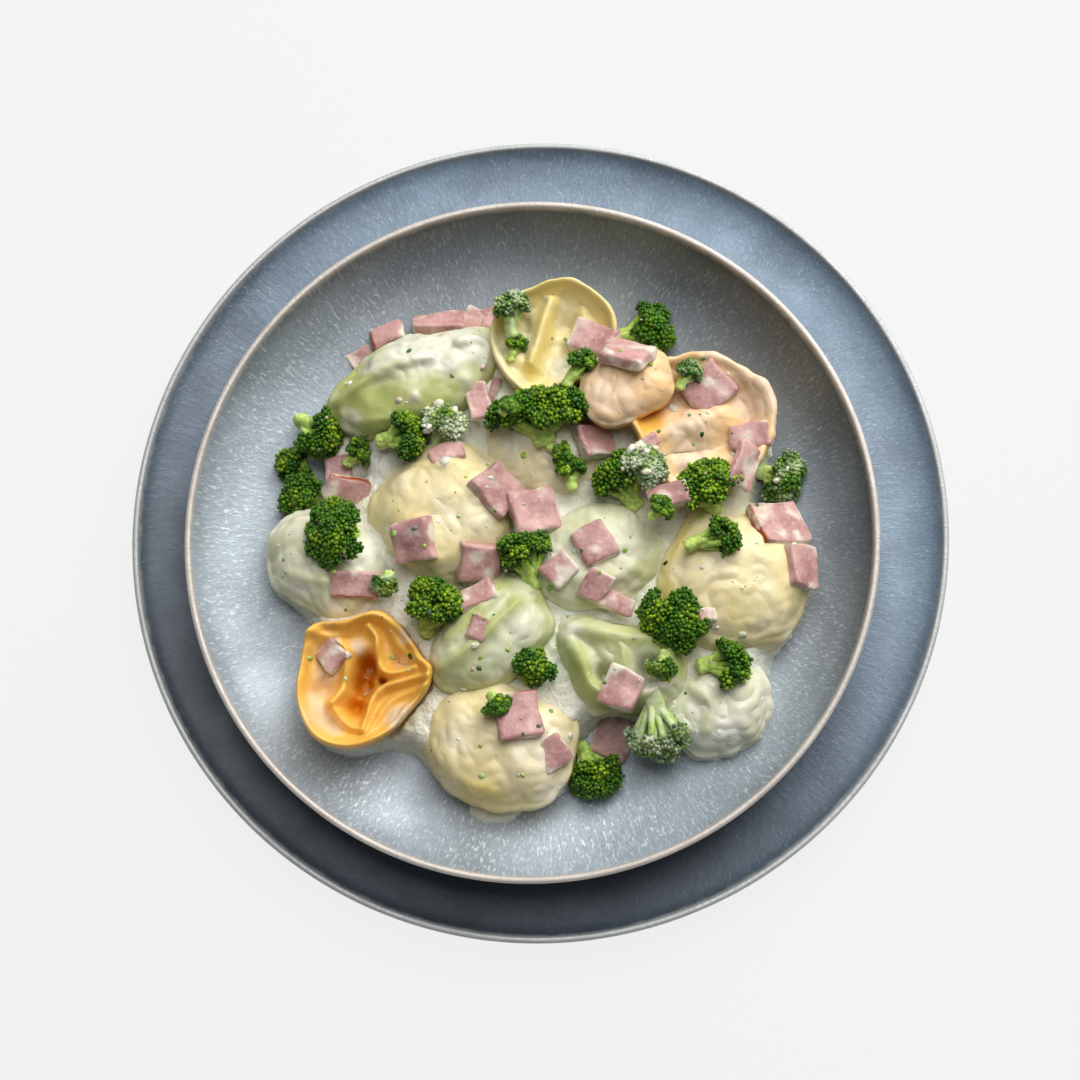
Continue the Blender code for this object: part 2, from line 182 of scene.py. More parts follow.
# Each pasta piece: dough, form, half length and half width in mm, turn and joint in degrees, and the share
# of sauce film. All that follows is in mm from the piece's middle, and is left out where a piece has none.
# An edge is the outline, as points that a smooth curve runs through. A fold is (points, height, width), a
# hollow is (x, y, reach, depth), and a spot of more sauce, or of less where its share is negative, is
# (x, y, reach, share). A lip is (from angle, to angle, share of the radius, height, width).
PASTA = {
    "pasta_tomato_front": dict(
        dough="tomato", form="cup", size=(21.5, 20.5), turn=0, joint=5, film=0.10,
        edge=((-18.4, 15.6), (-14.5, 18.4), (-6.6, 18.8), (-1, 21.0), (3, 22), (6.5, 21), (11.4, 16.8),
              (15, 12), (18.4, 7), (21.2, 4), (20.8, -1), (18, -5.5), (14, -10), (10.4, -14.4),
              (5.5, -18.6), (-1.5, -21.2), (-8.3, -21.2), (-14.9, -18.4), (-19, -12.6), (-21.2, -4.6),
              (-20.4, 5), (-19.4, 11.5)),
        folds=(
            (((-17.6, 15.2), (-9.9, 13.8), (-6.2, 16.4), (-3, 18.4), (1.6, 19.6), (5.5, 18.4), (8.2, 15.2),
              (10.4, 10.9), (13, 7.8), (16.5, 5.2), (20, 3.4)), 3.0, 1.9),
            (((-8.6, 12.2), (-6.2, 10.2), (-5.5, 6.9), (-5.8, 3), (-6.4, -1.3), (-8, -4.4),
              (-10.4, -7)), 4.6, 1.9),
            (((-10.2, -7.4), (-7.8, -11.4), (-4.6, -14.2), (-0.9, -15.3)), 3.2, 1.4),
            (((-0.5, -15.2), (0.9, -11), (1.6, -7.9), (3.2, -4.5), (6.2, -1.9), (9.9, -0.9), (16.5, 0.8),
              (20, 1)), 4.2, 1.5),
            (((1.0, 17), (3.6, 13.5), (3.5, 8.3), (4.3, 4.9), (6, 2.9), (8.6, 2.2), (16, 3.8)), 4.4, 1.5),
            (((20, -1.8), (13.2, -4), (8.8, -6.2), (5.8, -9.4), (3.6, -13), (0.6, -18),
              (-1.8, -20)), 2.6, 1.6),
        ),
        hollows=(
            (0.2, 5.4, 3.6, 8.5), (-1.6, -0.6, 3.4, 8.0), (-3.6, -7.8, 3.4, 5.5), (5.0, 0.6, 1.4, 5.0),
            (10.8, 6.6, 2.6, 4.2), (-12.8, 7.0, 4.0, 4.0), (-13.5, -1.5, 4.4, 3.0), (-9.5, -13.5, 3.2, 2.2),
        ),
        spots=((-14.5, -4, 6.5, 0.62), (-12, 5, 5.0, 0.8), (-9, -15, 5.0, 0.55), (-16, -12, 5, 0.5),
               (10.5, -12, 5.0, 0.9), (-3.2, 10.8, 2.4, 1.0), (-9, 12.0, 2.0, 1.0), (11.5, 5.5, 3.0, 0.7),
               (12.5, 13, 2.5, 0.5), (1, 20.6, 2.2, 0.5)),
        lips=((165, 300, 0.92, 2.6, 2.6),),
    ),
    "pasta_spinach_back": dict(
        dough="spinach", form="fold", size=(28, 19), turn=32, joint=180, film=0.20,
        edge=((-31, -3.7), (-28.2, 3.9), (-23.4, 8.7), (-17.5, 15.2), (-9.9, 19.4), (-3.5, 21.6),
              (4.1, 22.4), (12.7, 24), (20.3, 24.6), (25.8, 19), (24.6, 11.4), (22.4, 5), (16, -3.7),
              (7.3, -7.6), (-4.5, -11.6), (-16.4, -13.4), (-25, -9.6)),
        folds=(
            (((-27, -2), (-19, 3.4), (-8, 8.5), (4, 11)), 2.2, 1.7),
            (((-15, 13.0), (-6, 16.5), (6, 19), (15, 20)), 1.8, 3.0),
            (((13, 16.5), (19, 18), (24, 14.5), (23, 8)), 2.4, 1.7),
            (((-28, -5), (-20, -9), (-10, -9.5)), 1.4, 1.8),
        ),
        hollows=((-12, 1.0, 5.0, 1.6), (-22, -2.5, 3.0, 1.4), (8, 2, 6.0, 1.2)),
        spots=((-5, 15, 7.5, 1.1), (5, 17, 8, 1.1), (14, 18, 8, 1.0), (22, 15, 6, 0.6), (-15, 9, 5.5, 0.7),
               (-1.3, -2, 1.6, 0.9), (-22, -9, 5, 0.6), (-27, 0, 4, 0.3), (9, 9, 3.5, 0.5), (15, 4, 3, 0.5)),
    ),
    "pasta_egg_back": dict(
        dough="egg", form="cup", size=(20, 18), turn=20, joint=250, film=0.56,
        folds=((((-1.0, 12), (-3.5, 4), (-7.5, -9)), 6.5, 2.8), (((9, 9), (12, 0), (8, -8)), 3.0, 2.6),
               (((-14, 4), (-12, -5), (-8, -11)), 3.0, 3.0)),
        hollows=((4.0, 6.5, 3.6, 3.4), (5.5, -2.5, 2.6, 4.0), (-9, 5, 3.0, 2.0)),
        spots=((-11, -2, 6, 0.5), (3, -10, 6, 0.6), (12, -6, 5, 0.5)),
        lips=((0, 180, 0.88, 3.0, 2.9),),
    ),
    "pasta_tomato_right": dict(
        dough="tomato", form="cup", size=(23, 22), turn=300, joint=130, film=0.78,
        folds=((((-19, -4), (-10, -3), (0, -1), (6, 2)), 6.5, 7.0),
               (((-15, 8), (-10, 14), (-2, 17)), 2.5, 2.5),
               (((-8, -14), (2, -14), (10, -12)), 4.0, 5.0)),
        hollows=((-12, 12, 3.4, 6.0), (10.0, 5.0, 3.0, 2.0)),
        spots=((-6, -2, 8, 0.5), (4, 2, 6, 0.4), (15, -10, 5, 0.5), (10, 14, 4, 0.35), (-3, -14, 7, 0.5),
               (-17, 0, 3.6, -0.9), (21, 4, 8, 0.55), (16, 13, 7, 0.55), (4, 20, 6, 0.4)),
        lips=((-75, 110, 0.83, 4.0, 3.8),),
    ),
    "pasta_spinach_front": dict(
        dough="spinach", form="dome", size=(22, 16.5), turn=165, joint=300, film=0.60,
        edge=((-22.5, 6.5), (-20.4, 13), (-14.2, 16), (-6.1, 14.5), (3.6, 12.3), (13.3, 12.6),
              (20.4, 6.5), (21.5, -3.2), (18.7, -10.8), (10, -15.6), (-2.9, -15.3), (-9.4, -15.8),
              (-14.2, -12.4), (-18.4, -5.8), (-21.4, 1.6)),
        folds=(
            (((-19.5, 8), (-15, 11), (-6, 9.5), (6, 8), (14, 6)), 4.6, 4.4),
            (((-18, 8), (-14, 0), (-11, -7), (-6, -11)), 4.4, 3.6),
            (((13, 6), (16, -2), (13, -8)), 4.0, 3.0),
            (((-6, -11), (2, -12), (9, -10)), 3.0, 2.8),
            (((-2, 8), (0, 2), (1, -5)), 2.6, 2.4),
        ),
        hollows=((-6, -4.5, 2.8, 9.0), (7.5, -3, 3.8, 9.0)),
        spots=((-18, 10, 6, 0.5), (-6, 12, 6, 0.3), (-14, -4, 3, -0.3), (12, -8, 6, 0.4)),
    ),
    "pasta_egg_right": dict(
        dough="egg", form="dome", size=(24, 23), turn=75, joint=110, film=0.62,
        lips=((118, 250, 0.90, 1.9, 2.2), (235, 320, 0.90, 1.6, 2.0)),
    ),
    "pasta_egg_front": dict(
        dough="egg", form="dome", size=(24, 20), turn=165, joint=20, film=0.60,
        folds=((((-18, -4), (-12, -12), (-3, -15)), 1.4, 2.6),),
        hollows=((-9, 3, 3.6, 0.9),),
        lips=((160, 265, 0.90, 1.4, 2.2),),
    ),
    "pasta_egg_middle": dict(
        dough="egg", form="dome", size=(23, 22), turn=40, joint=90, film=0.60,
        folds=((((-17, 10), (-8, 14), (3, 15)), 1.6, 2.8), (((-15, -9), (-10, -15), (-2, -17)), 1.2, 2.4)),
        hollows=((9, -12, 4.0, 1.0),),
        lips=((60, 190, 0.92, 1.2, 1.8),),
    ),
    "pasta_spinach_middle": dict(
        dough="spinach", form="fold", size=(22, 14.5), turn=44, joint=0, film=0.50,
        folds=((((-15, -12), (-3, -3), (9, 9)), 2.2, 2.2), (((-12, -2), (-3, 6), (4, 14)), 1.6, 2.2)),
        hollows=((-3, 1.5, 3.0, 1.2),),
        lips=((-70, 30, 0.90, 1.5, 1.8),),
    ),
    "pasta_spinach_left": dict(
        dough="spinach", form="dome", size=(21, 17), turn=150, joint=200, film=0.72,
        folds=((((-12, -4), (0, -7), (11, -6)), 1.2, 2.2),),
        hollows=((-4, 4, 4.5, 0.8),),
        lips=((190, 290, 0.90, 1.2, 1.8),),
    ),
    "pasta_spinach_centre": dict(
        dough="spinach", form="dome", size=(21, 18), turn=10, joint=250, film=0.66,
        folds=((((-14, -5), (0, -9), (13, -6)), 1.4, 2.4),),
        lips=((200, 300, 0.90, 1.2, 1.8),),
    ),
    "pasta_egg_centre": dict(
        dough="egg", form="dome", size=(21, 16), turn=160, joint=0, film=0.85,
    ),
    "pasta_tomato_back": dict(
        dough="tomato", form="dome", size=(15, 12), turn=30, joint=200, film=0.72,
        lips=((150, 260, 0.88, 1.2, 1.8),),
    ),
    "pasta_spinach_corner": dict(
        dough="spinach", form="dome", size=(17, 14), turn=30, joint=60, film=0.78,
        folds=((((-9, 6), (-3, 0), (-4, -8)), 1.8, 2.0),),
        hollows=((2, 2, 3.0, 1.4),), lips=((20, 140, 0.88, 1.2, 1.8),),
    ),
}

# Each floret: length and crown radius in mm, heading and pitch in degrees, and its share of sauce.
FLORETS = {
    "broccoli_centre_back": (18, 14.5, 92, 40, 0.05),
    "broccoli_back_right": (21, 9, 5, 30, 0.05),
    "broccoli_sauced_left": (15, 6.5, 85, 25, 0.60),
    "broccoli_fan_left": (16, 8, 15, 12, 0.05),
    "broccoli_left_upper": (19, 8, -35, 18, 0.05),
    "broccoli_left_small": (14, 6, 140, 12, 0.0),
    "broccoli_left_outer": (18, 8.5, 180, 45, 0.0),
    "broccoli_left_lower": (17, 10.5, 195, 55, 0.1),
    "broccoli_middle": (20, 8, 100, 30, 0.05),
    "broccoli_centre_right": (20, 9, 125, 30, 0.08),
    "broccoli_right_upper": (19, 9.5, 105, 28, 0.08),
    "broccoli_sauced_centre": (13, 7.5, 60, 50, 0.60),
    "broccoli_right_lying": (18, 6, 15, 6, 0.05),
    "broccoli_right_edge": (16, 8, -30, 30, 0.50),
    "broccoli_right_front": (14, 10.5, 270, 78, 0.0),
    "broccoli_left_front": (19, 10, 60, 40, 0.1),
    "broccoli_front_small": (12, 6.5, 250, 60, 0.0),
    "broccoli_front_edge": (18, 8.5, -70, 20, 0.0),
    "broccoli_sauced_front": (24, 9.5, -80, 12, 0.58),
    "broccoli_corner": (17, 7, 0, 12, 0.25),
}

# Ham dice with a browned rind: the way that the rind faces.
RINDS = {
    "ham_back_rind": (-1.0, 0.1, 0.2),
    "ham_left_rind": (0.7, 0.6, 0.4),
    "ham_left_lower": (0.0, -1.0, 0.0),
    "ham_front_rind": (0.0, 1.0, 0.1),
    "ham_front_edge": (0.8, -0.6, 0.0),
    "ham_right_red": (-0.4, -0.5, 0.8),
}


# ---------------------------------------------------------------- small tools


def waves(points, length, seed, octaves=1):
    """Smooth gradient noise of about -1 to 1 at these points, whose bumps are about this length across."""
    random = np.random.default_rng(seed)
    table = random.permutation(256)
    ways = random.normal(size=(256, 3))
    ways /= np.linalg.norm(ways, axis=1)[:, None]
    total = np.zeros(len(points))
    for octave in range(octaves):
        place = points / length * 2**octave + 31.7 * (octave + 1)
        cell = np.floor(place).astype(int)
        local = place - cell
        fade = local**3 * (local * (local * 6 - 15) + 10)
        for corner in itertools.product((0, 1), repeat=3):
            spot = (cell + corner) & 255
            key = table[(table[(table[spot[:, 0]] + spot[:, 1]) & 255] + spot[:, 2]) & 255]
            lean = (ways[key] * (local - corner)).sum(1)
            weight = np.where(np.array(corner) == 1, fade, 1 - fade).prod(1)
            total += 1.5 * 0.5**octave * weight * lean
    return total


def smooth_step(value, low, high):
    share = np.clip((value - low) / (high - low), 0, 1)
    return share * share * (3 - 2 * share)


def unit(vector):
    return vector / np.linalg.norm(vector)


def direction(heading, pitch):
    """The unit vector of this heading and this pitch above the level, in degrees."""
    heading, pitch = math.radians(heading), math.radians(pitch)
    level = math.cos(pitch)
    return np.array([math.cos(heading) * level, math.sin(heading) * level, math.sin(pitch)])


def square_to(way):
    """Two unit vectors square to this one and to each other."""
    helper = np.array([0.0, 0.0, 1.0]) if abs(way[2]) < 0.9 else np.array([1.0, 0.0, 0.0])
    first = unit(np.cross(way, helper))
    return first, np.cross(way, first)


def middle_of(name):
    """The middle of a solid's box."""
    low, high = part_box(name)
    return np.array([(a + b) / 2 for a, b in zip(low, high)])


def names_of(*kinds):
    """The names of the solids of these kinds."""
    return [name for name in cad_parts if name.startswith(kinds)]


def spline(points, count, closed=False):
    """A smooth curve through the points."""
    points = np.asarray(points, float)
    if closed:
        padded = np.vstack([points[-1:], points, points[:2]])
    else:
        padded = np.vstack([2 * points[0] - points[1], points, 2 * points[-1] - points[-2]])
    spans = len(padded) - 3
    places = np.linspace(0, spans, count, endpoint=not closed)
    index = np.minimum(places.astype(int), spans - 1)
    t = (places - index)[:, None]
    a, b, c, d = (padded[index + k] for k in range(4))
    square = 2 * a - 5 * b + 4 * c - d
    cube = 3 * b - a - 3 * c + d
    return 0.5 * (2 * b + (c - a) * t + square * t**2 + cube * t**3)


def distance_to(xy, line):
    """The distance of each point from a line of points in the plane."""
    best = np.full(len(xy), 1e9)
    for start, end in zip(line[:-1], line[1:]):
        along = end - start
        share = np.clip(((xy - start) @ along) / max(along @ along, 1e-12), 0, 1)
        best = np.minimum(best, np.linalg.norm(xy - start - share[:, None] * along, axis=1))
    return best


def new_piece(name, points, faces, finish, nodes=(), attributes=None):
    mesh = bpy.data.meshes.new(name)
    mesh.from_pydata(np.asarray(points).tolist(), [], faces)
    mesh.materials.append(finish)
    mesh.shade_smooth()
    for key, values in (attributes or {}).items():
        values = np.asarray(values, np.float32)
        if values.ndim == 1:
            layer = mesh.attributes.new(key, "FLOAT", "POINT")
            layer.data.foreach_set("value", values)
        else:
            layer = mesh.attributes.new(key, "FLOAT_COLOR", "POINT")
            opaque = np.c_[values, np.ones(len(values))].astype(np.float32)
            layer.data.foreach_set("color", opaque.ravel())
    piece = bpy.data.objects.new(name, mesh)
    bpy.context.scene.collection.objects.link(piece)
    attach(piece, "root")
    for node in nodes:
        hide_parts(node)
    return piece


def loft_faces(rings, sides):
    """Faces of a closed loft with a point at each end: point 0, then the rings, then the last point."""
    index = 1 + np.arange(rings * sides).reshape(rings, sides)
    after = np.roll(index, -1, axis=1)
    quads = np.stack([index[:-1], index[1:], after[1:], after[:-1]], axis=-1).reshape(-1, 4).tolist()
    last = rings * sides + 1
    top = [(0, int(a), int(b)) for a, b in zip(index[0], after[0])]
    foot = [(last, int(b), int(a)) for a, b in zip(index[-1], after[-1])]
    return quads + top + foot


def grid_normals(points, rings, sides):
    """Outward normals of a loft's ring points, and of its two ends."""
    grid = points[1:-1].reshape(rings, sides, 3)
    down = np.gradient(grid, axis=0)
    round_ = np.roll(grid, -1, axis=1) - np.roll(grid, 1, axis=1)
    normal = np.cross(down.reshape(-1, 3), round_.reshape(-1, 3))
    normal /= np.maximum(np.linalg.norm(normal, axis=1), 1e-12)[:, None]
    return np.vstack([[0, 0, 1], normal, [0, 0, -1]])


def tree_of(pieces):
    points = []
    faces = []
    for piece in pieces:
        start = len(points)
        points.extend(tuple(vertex.co) for vertex in piece.data.vertices)
        faces.extend(tuple(start + corner for corner in face.vertices) for face in piece.data.polygons)
    return BVHTree.FromPolygons(points, faces)


# ---------------------------------------------------------------- materials


class Paint:
    """A Principled material, with short ways to add nodes to it."""

    def __init__(self, name, **values):
        self.material = bpy.data.materials.new(name)
        self.material.use_nodes = True
        self.tree = self.material.node_tree
        self.shader = self.tree.nodes["Principled BSDF"]
        for key, value in values.items():
            self.shader.inputs[key.replace("_", " ")].default_value = value
        self.place = self.add("ShaderNodeTexCoord").outputs["Object"]

    def add(self, kind, inputs=None, **settings):
        node = self.tree.nodes.new(kind)
        for key, value in settings.items():
            setattr(node, key, value)
        for key, value in (inputs or {}).items():
            if hasattr(value, "is_output"):
                self.tree.links.new(value, node.inputs[key])
            else:
                node.inputs[key].default_value = value
        return node

    def set(self, key, value):
        self.tree.links.new(value, self.shader.inputs[key])

    def noise(self, size, detail=3.0, vector=None, distortion=0.0, rough=0.5):
        """Noise whose features are about this many millimetres across."""
        inputs = {"Vector": vector or self.place, "Scale": 0.6 / (size * MM), "Detail": detail,
                  "Roughness": rough, "Distortion": distortion}
        return self.add("ShaderNodeTexNoise", inputs).outputs["Fac"]

    def dots(self, size, vector=None):
        """The distance to the nearest of many scattered points, about this many millimetres apart."""
        inputs = {"Vector": vector or self.place, "Scale": 1 / (size * MM)}
        return self.add("ShaderNodeTexVoronoi", inputs).outputs["Distance"]

    def ramp(self, value, low, high, to_low=0.0, to_high=1.0):
        inputs = {"Value": value, "From Min": low, "From Max": high, "To Min": to_low, "To Max": to_high}
        return self.add("ShaderNodeMapRange", inputs, interpolation_type="SMOOTHSTEP").outputs["Result"]

    def maths(self, operation, a, b=0.0, clamp=False):
        node = self.add("ShaderNodeMath", {0: a, 1: b}, operation=operation, use_clamp=clamp)
        return node.outputs[0]

    def vector(self, operation, a, b=None, output=0, scale=None):
        inputs = {0: a}
        if b is not None:
            inputs[1] = b
        if scale is not None:
            inputs["Scale"] = scale
        return self.add("ShaderNodeVectorMath", inputs, operation=operation).outputs[output]

    def mix(self, share, low, high):
        low = (*low, 1) if isinstance(low, tuple) else low
        high = (*high, 1) if isinstance(high, tuple) else high
        return self.add("ShaderNodeMix", {0: share, 6: low, 7: high}, data_type="RGBA").outputs[2]

    def attribute(self, name, output="Fac"):
        return self.add("ShaderNodeAttribute", attribute_name=name).outputs[output]

    def bump(self, height, distance, strength=1.0, normal=None):
        inputs = {"Height": height, "Distance": distance * MM, "Strength": strength}
        if normal is not None:
            inputs["Normal"] = normal
        return self.add("ShaderNodeBump", inputs).outputs["Normal"]


def srgb(red, green, blue):
    """The linear colour of 0 to 255 display values."""

    def linear(value):
        value /= 255
        return value / 12.92 if value <= 0.04045 else ((value + 0.055) / 1.055) ** 2.4

    return (linear(red), linear(green), linear(blue))


def scaled(colour, share):
    return tuple(share * value for value in colour)


# Each plate: width of its wall, radius inside its foot and height of its floor in mm, then its glaze:
# ground, flecks and bare rim, share of flecks, and then painted light and shade: its brightness at the front
# left and the back right.
PLATES = {
    "plate": dict(
        wall=28, foot=50, floor=8, base=srgb(140, 150, 158), light=srgb(222, 226, 228),
        rim=srgb(216, 206, 196), flecked=0.60, painted_shading=(1.40, 0.38),
    ),
    "underplate": dict(
        wall=26, foot=66, floor=8, base=srgb(98, 114, 130), light=srgb(158, 170, 180),
        rim=srgb(196, 198, 196), flecked=0.30, painted_shading=(0.30, 1.45),
    ),
}

SAUCE_LIGHT = srgb(238, 236, 224)
SAUCE_DARK = srgb(222, 216, 190)
SAUCE_EGG = srgb(222, 196, 136)
SAUCE_TOMATO = srgb(238, 190, 146)
# Each dough: its light colour, and a deeper one that is painted as shade in the hollows and on the
# underside, and also lies in random patches.
DOUGHS = {
    "egg": (srgb(240, 218, 136), srgb(222, 182, 92)),
    "spinach": (srgb(186, 192, 118), srgb(150, 160, 82)),
    "tomato": (srgb(248, 192, 88), srgb(212, 128, 12)),
}


# The way that painted light and shade run across each plate, from its front left to its back right, towards
# the window lamp.
PAINTED_LIGHT_WAY = (0.53, 0.85, 0.0)


def glaze_paint(name, centre, radius, rim_z, spec):
    """Reactive stoneware glaze: slate with pale flecks drawn out from the middle, and a bare cream rim,
    under painted light and shade that runs across the plate.
    """
    paint = Paint(name, Roughness=0.5, IOR=1.6, Metallic=0.30, Coat_Weight=0.45, Coat_Roughness=0.42)
    base, light, flecked = spec["base"], spec["light"], spec["flecked"]
    flat = paint.vector("MULTIPLY", paint.vector("SUBTRACT", paint.place, centre), (1, 1, 0))
    away = paint.vector("LENGTH", flat, output="Value")
    turned = paint.vector("SCALE", paint.vector("NORMALIZE", flat), scale=0.85 * radius)
    out = paint.add("ShaderNodeCombineXYZ", {"Z": paint.maths("MULTIPLY", away, 0.45)}).outputs[0]
    drawn = paint.vector("ADD", turned, out)
    flecks = paint.ramp(paint.noise(0.46, 2.0, drawn, 0.5), 0.54, 0.70)
    fine = paint.ramp(paint.noise(0.34, 2.0, drawn), 0.48, 0.72)
    clouds = paint.ramp(paint.noise(30, 5.0, distortion=0.8), 0.30, 0.70)
    mottled = paint.mix(clouds, scaled(base, 0.78), scaled(base, 1.20))
    dense = paint.ramp(paint.noise(16, 3.0), 0.35, 0.65, 0.55 * flecked, flecked)
    colour = paint.mix(paint.maths("MULTIPLY", flecks, dense), mottled, light)
    colour = paint.mix(paint.maths("MULTIPLY", fine, 0.22), colour, light)
    # Painted light and shade: the plate is lighter at its front left, where its wall faces the window lamp,
    # and darker at its back right, in its rim's shade; the underplate is darker at its front left, a painted
    # shadow of the plate, and lighter at its back right.
    toward_light = paint.vector("DOT_PRODUCT", flat, PAINTED_LIGHT_WAY, output="Value")
    colour = paint.vector("SCALE", colour, scale=paint.ramp(toward_light, -radius, radius, *spec["painted_shading"]))
    height = paint.add("ShaderNodeSeparateXYZ", {0: paint.place}).outputs["Z"]
    ragged = paint.maths("MULTIPLY", paint.noise(2.5, 4.0), 1.2 * MM)
    near_edge = paint.ramp(paint.maths("ADD", away, ragged), radius - 2.6 * MM, radius - 1.2 * MM)
    high = paint.ramp(height, rim_z - 3.2 * MM, rim_z - 1.4 * MM)
    rim_colour = paint.mix(paint.noise(5, 4), spec["rim"], scaled(spec["rim"], 0.66))
    paint.set("Base Color", paint.mix(paint.maths("MULTIPLY", near_edge, high), colour, rim_colour))
    peel = paint.maths("ADD", paint.noise(1.0, 2.0, drawn), paint.maths("MULTIPLY", flecks, 0.30))
    paint.set("Normal", paint.bump(peel, 0.32, 0.55))
    paint.set("Roughness", paint.ramp(paint.noise(9, 3), 0.3, 0.7, 0.46, 0.60))
    return paint.material


def soft_paint(name, roughness, soft, soft_radius, soft_scale):
    """A moist material that light goes a little way into."""
    return Paint(
        name, Roughness=roughness, IOR=1.42, Subsurface_Weight=soft,
        Subsurface_Radius=soft_radius, Subsurface_Scale=soft_scale,
    )


def film_over(paint, size, detail, ragged):
    """The share of sauce at each point, with an edge broken up by noise."""
    edge = paint.maths("SUBTRACT", paint.maths("MULTIPLY", paint.noise(size, detail), ragged), ragged / 2)
    return paint.maths("ADD", paint.attribute("film"), edge)


def sauce_colour(paint):
    """Cream sauce: warm ivory, a little darker in patches, with fine pepper and herb specks."""
    patches = paint.ramp(paint.noise(15, 4, distortion=0.5), 0.32, 0.66)
    colour = paint.mix(patches, SAUCE_DARK, SAUCE_LIGHT)
    green = paint.ramp(paint.noise(24, 2), 0.50, 0.66, 0.0, 0.42)
    colour = paint.mix(green, colour, srgb(202, 208, 170))
    specks = paint.ramp(paint.dots(6.5), 0.030, 0.060, 1.0, 0.0)
    return paint.mix(paint.maths("MULTIPLY", specks, 0.70), colour, srgb(84, 104, 44))


def sauce_bump(paint):
    return paint.maths("ADD", paint.noise(0.9, 5.0), paint.maths("MULTIPLY", paint.noise(3.4, 4.0), 1.4))


def sauce_paint():
    paint = soft_paint("cream_sauce", 0.34, 0.25, (1.0, 0.75, 0.45), 0.0018)
    uneven = paint.ramp(paint.noise(8, 4), 0.30, 0.62, 0.25, 1.0)
    warm = paint.maths("MULTIPLY", paint.attribute("warm"), uneven)
    paint.set("Base Color", paint.mix(warm, sauce_colour(paint), SAUCE_EGG))
    paint.set("Roughness", paint.ramp(paint.noise(5, 3), 0.3, 0.7, 0.20, 0.40))
    paint.set("Normal", paint.bump(sauce_bump(paint), 0.90, 0.80))
    return paint.material


def pasta_paint(dough):
    """Cooked dough under a film of sauce, whose share is kept at each point of the piece."""
    light, deep_tone_and_shade = DOUGHS[dough]
    paint = soft_paint("dough_" + dough, 0.36, 0.22, (1.0, 0.6, 0.3), 0.0020)
    body = paint.mix(paint.ramp(paint.noise(7, 4), 0.3, 0.7), light, scaled(light, 0.88))
    # Painted shade: the deeper colour in the hollows and under the piece, and in random patches, from the
    # depth attribute.
    body = paint.mix(paint.attribute("depth"), body, deep_tone_and_shade)
    fleck = paint.ramp(paint.noise(1.4, 3), 0.60, 0.74, 0.0, 0.30)
    body = paint.mix(fleck, body, scaled(light, 0.74))
    film = film_over(paint, 4.5, 4, 0.5)
    sauce = sauce_colour(paint)
    if dough == "egg":
        sauce = paint.mix(0.35, sauce, SAUCE_EGG)
    if dough == "tomato":
        sauce = paint.mix(0.55, sauce, SAUCE_TOMATO)
    thin = paint.mix(0.42, sauce, light)
    covered = paint.mix(paint.ramp(film, 0.50, 0.95), thin, sauce)
    paint.set("Base Color", paint.mix(paint.ramp(film, 0.15, 0.60), body, covered))
    paint.set("Roughness", paint.ramp(paint.noise(4, 3), 0.3, 0.7, 0.25, 0.44))
    paint.set("Normal", paint.bump(sauce_bump(paint), 0.25, 0.40))
    return paint.material


def broccoli_paint():
    paint = soft_paint("broccoli", 0.36, 0.12, (0.4, 1.0, 0.15), 0.0012)
    shade = paint.ramp(paint.noise(0.8, 2), 0.3, 0.7, 0.78, 1.35)
    colour = paint.vector("SCALE", paint.attribute("paint", "Color"), scale=shade)
    cover = paint.ramp(film_over(paint, 2.2, 3, 0.8), 0.40, 0.80, 0.0, 0.85)
    paint.set("Base Color", paint.mix(cover, colour, srgb(216, 224, 192)))
    paint.set("Normal", paint.bump(paint.noise(0.7, 2), 0.25, 0.5))
    return paint.material


def ham_paint():
    paint = soft_paint("ham", 0.38, 0.22, (1.0, 0.45, 0.35), 0.0018)
    pink = paint.mix(paint.ramp(paint.noise(4.5, 4), 0.32, 0.68), srgb(172, 124, 119), srgb(210, 166, 159))
    pink = paint.mix(paint.ramp(paint.noise(0.9, 3), 0.52, 0.70, 0.0, 0.35), pink, srgb(228, 200, 190))
    pink = paint.mix(paint.ramp(paint.noise(9, 2), 0.55, 0.75, 0.0, 0.45), pink, srgb(170, 102, 97))
    rind = paint.mix(paint.noise(2, 3), srgb(128, 48, 22), srgb(176, 88, 40))
    colour = paint.mix(paint.attribute("rind"), pink, rind)
    cover = paint.ramp(film_over(paint, 2.6, 4, 0.9), 0.30, 0.70, 0.0, 0.9)
    paint.set("Base Color", paint.mix(cover, colour, srgb(232, 224, 206)))
    grain = paint.maths("ADD", paint.noise(0.8, 3), paint.noise(3, 3))
    paint.set("Normal", paint.bump(grain, 0.35, 0.5))
    return paint.material


# ---------------------------------------------------------------- plates


def chaikin(points, times):
    """Rounds an open profile's corners, keeping its ends."""
    points = np.asarray(points, float)
    for _ in range(times):
        near = 0.75 * points[:-1] + 0.25 * points[1:]
        far = 0.25 * points[:-1] + 0.75 * points[1:]
        middle = np.stack([near, far], axis=1).reshape(-1, 2)[1:-1]
        points = np.vstack([points[:1], middle, points[-1:]])
    return points


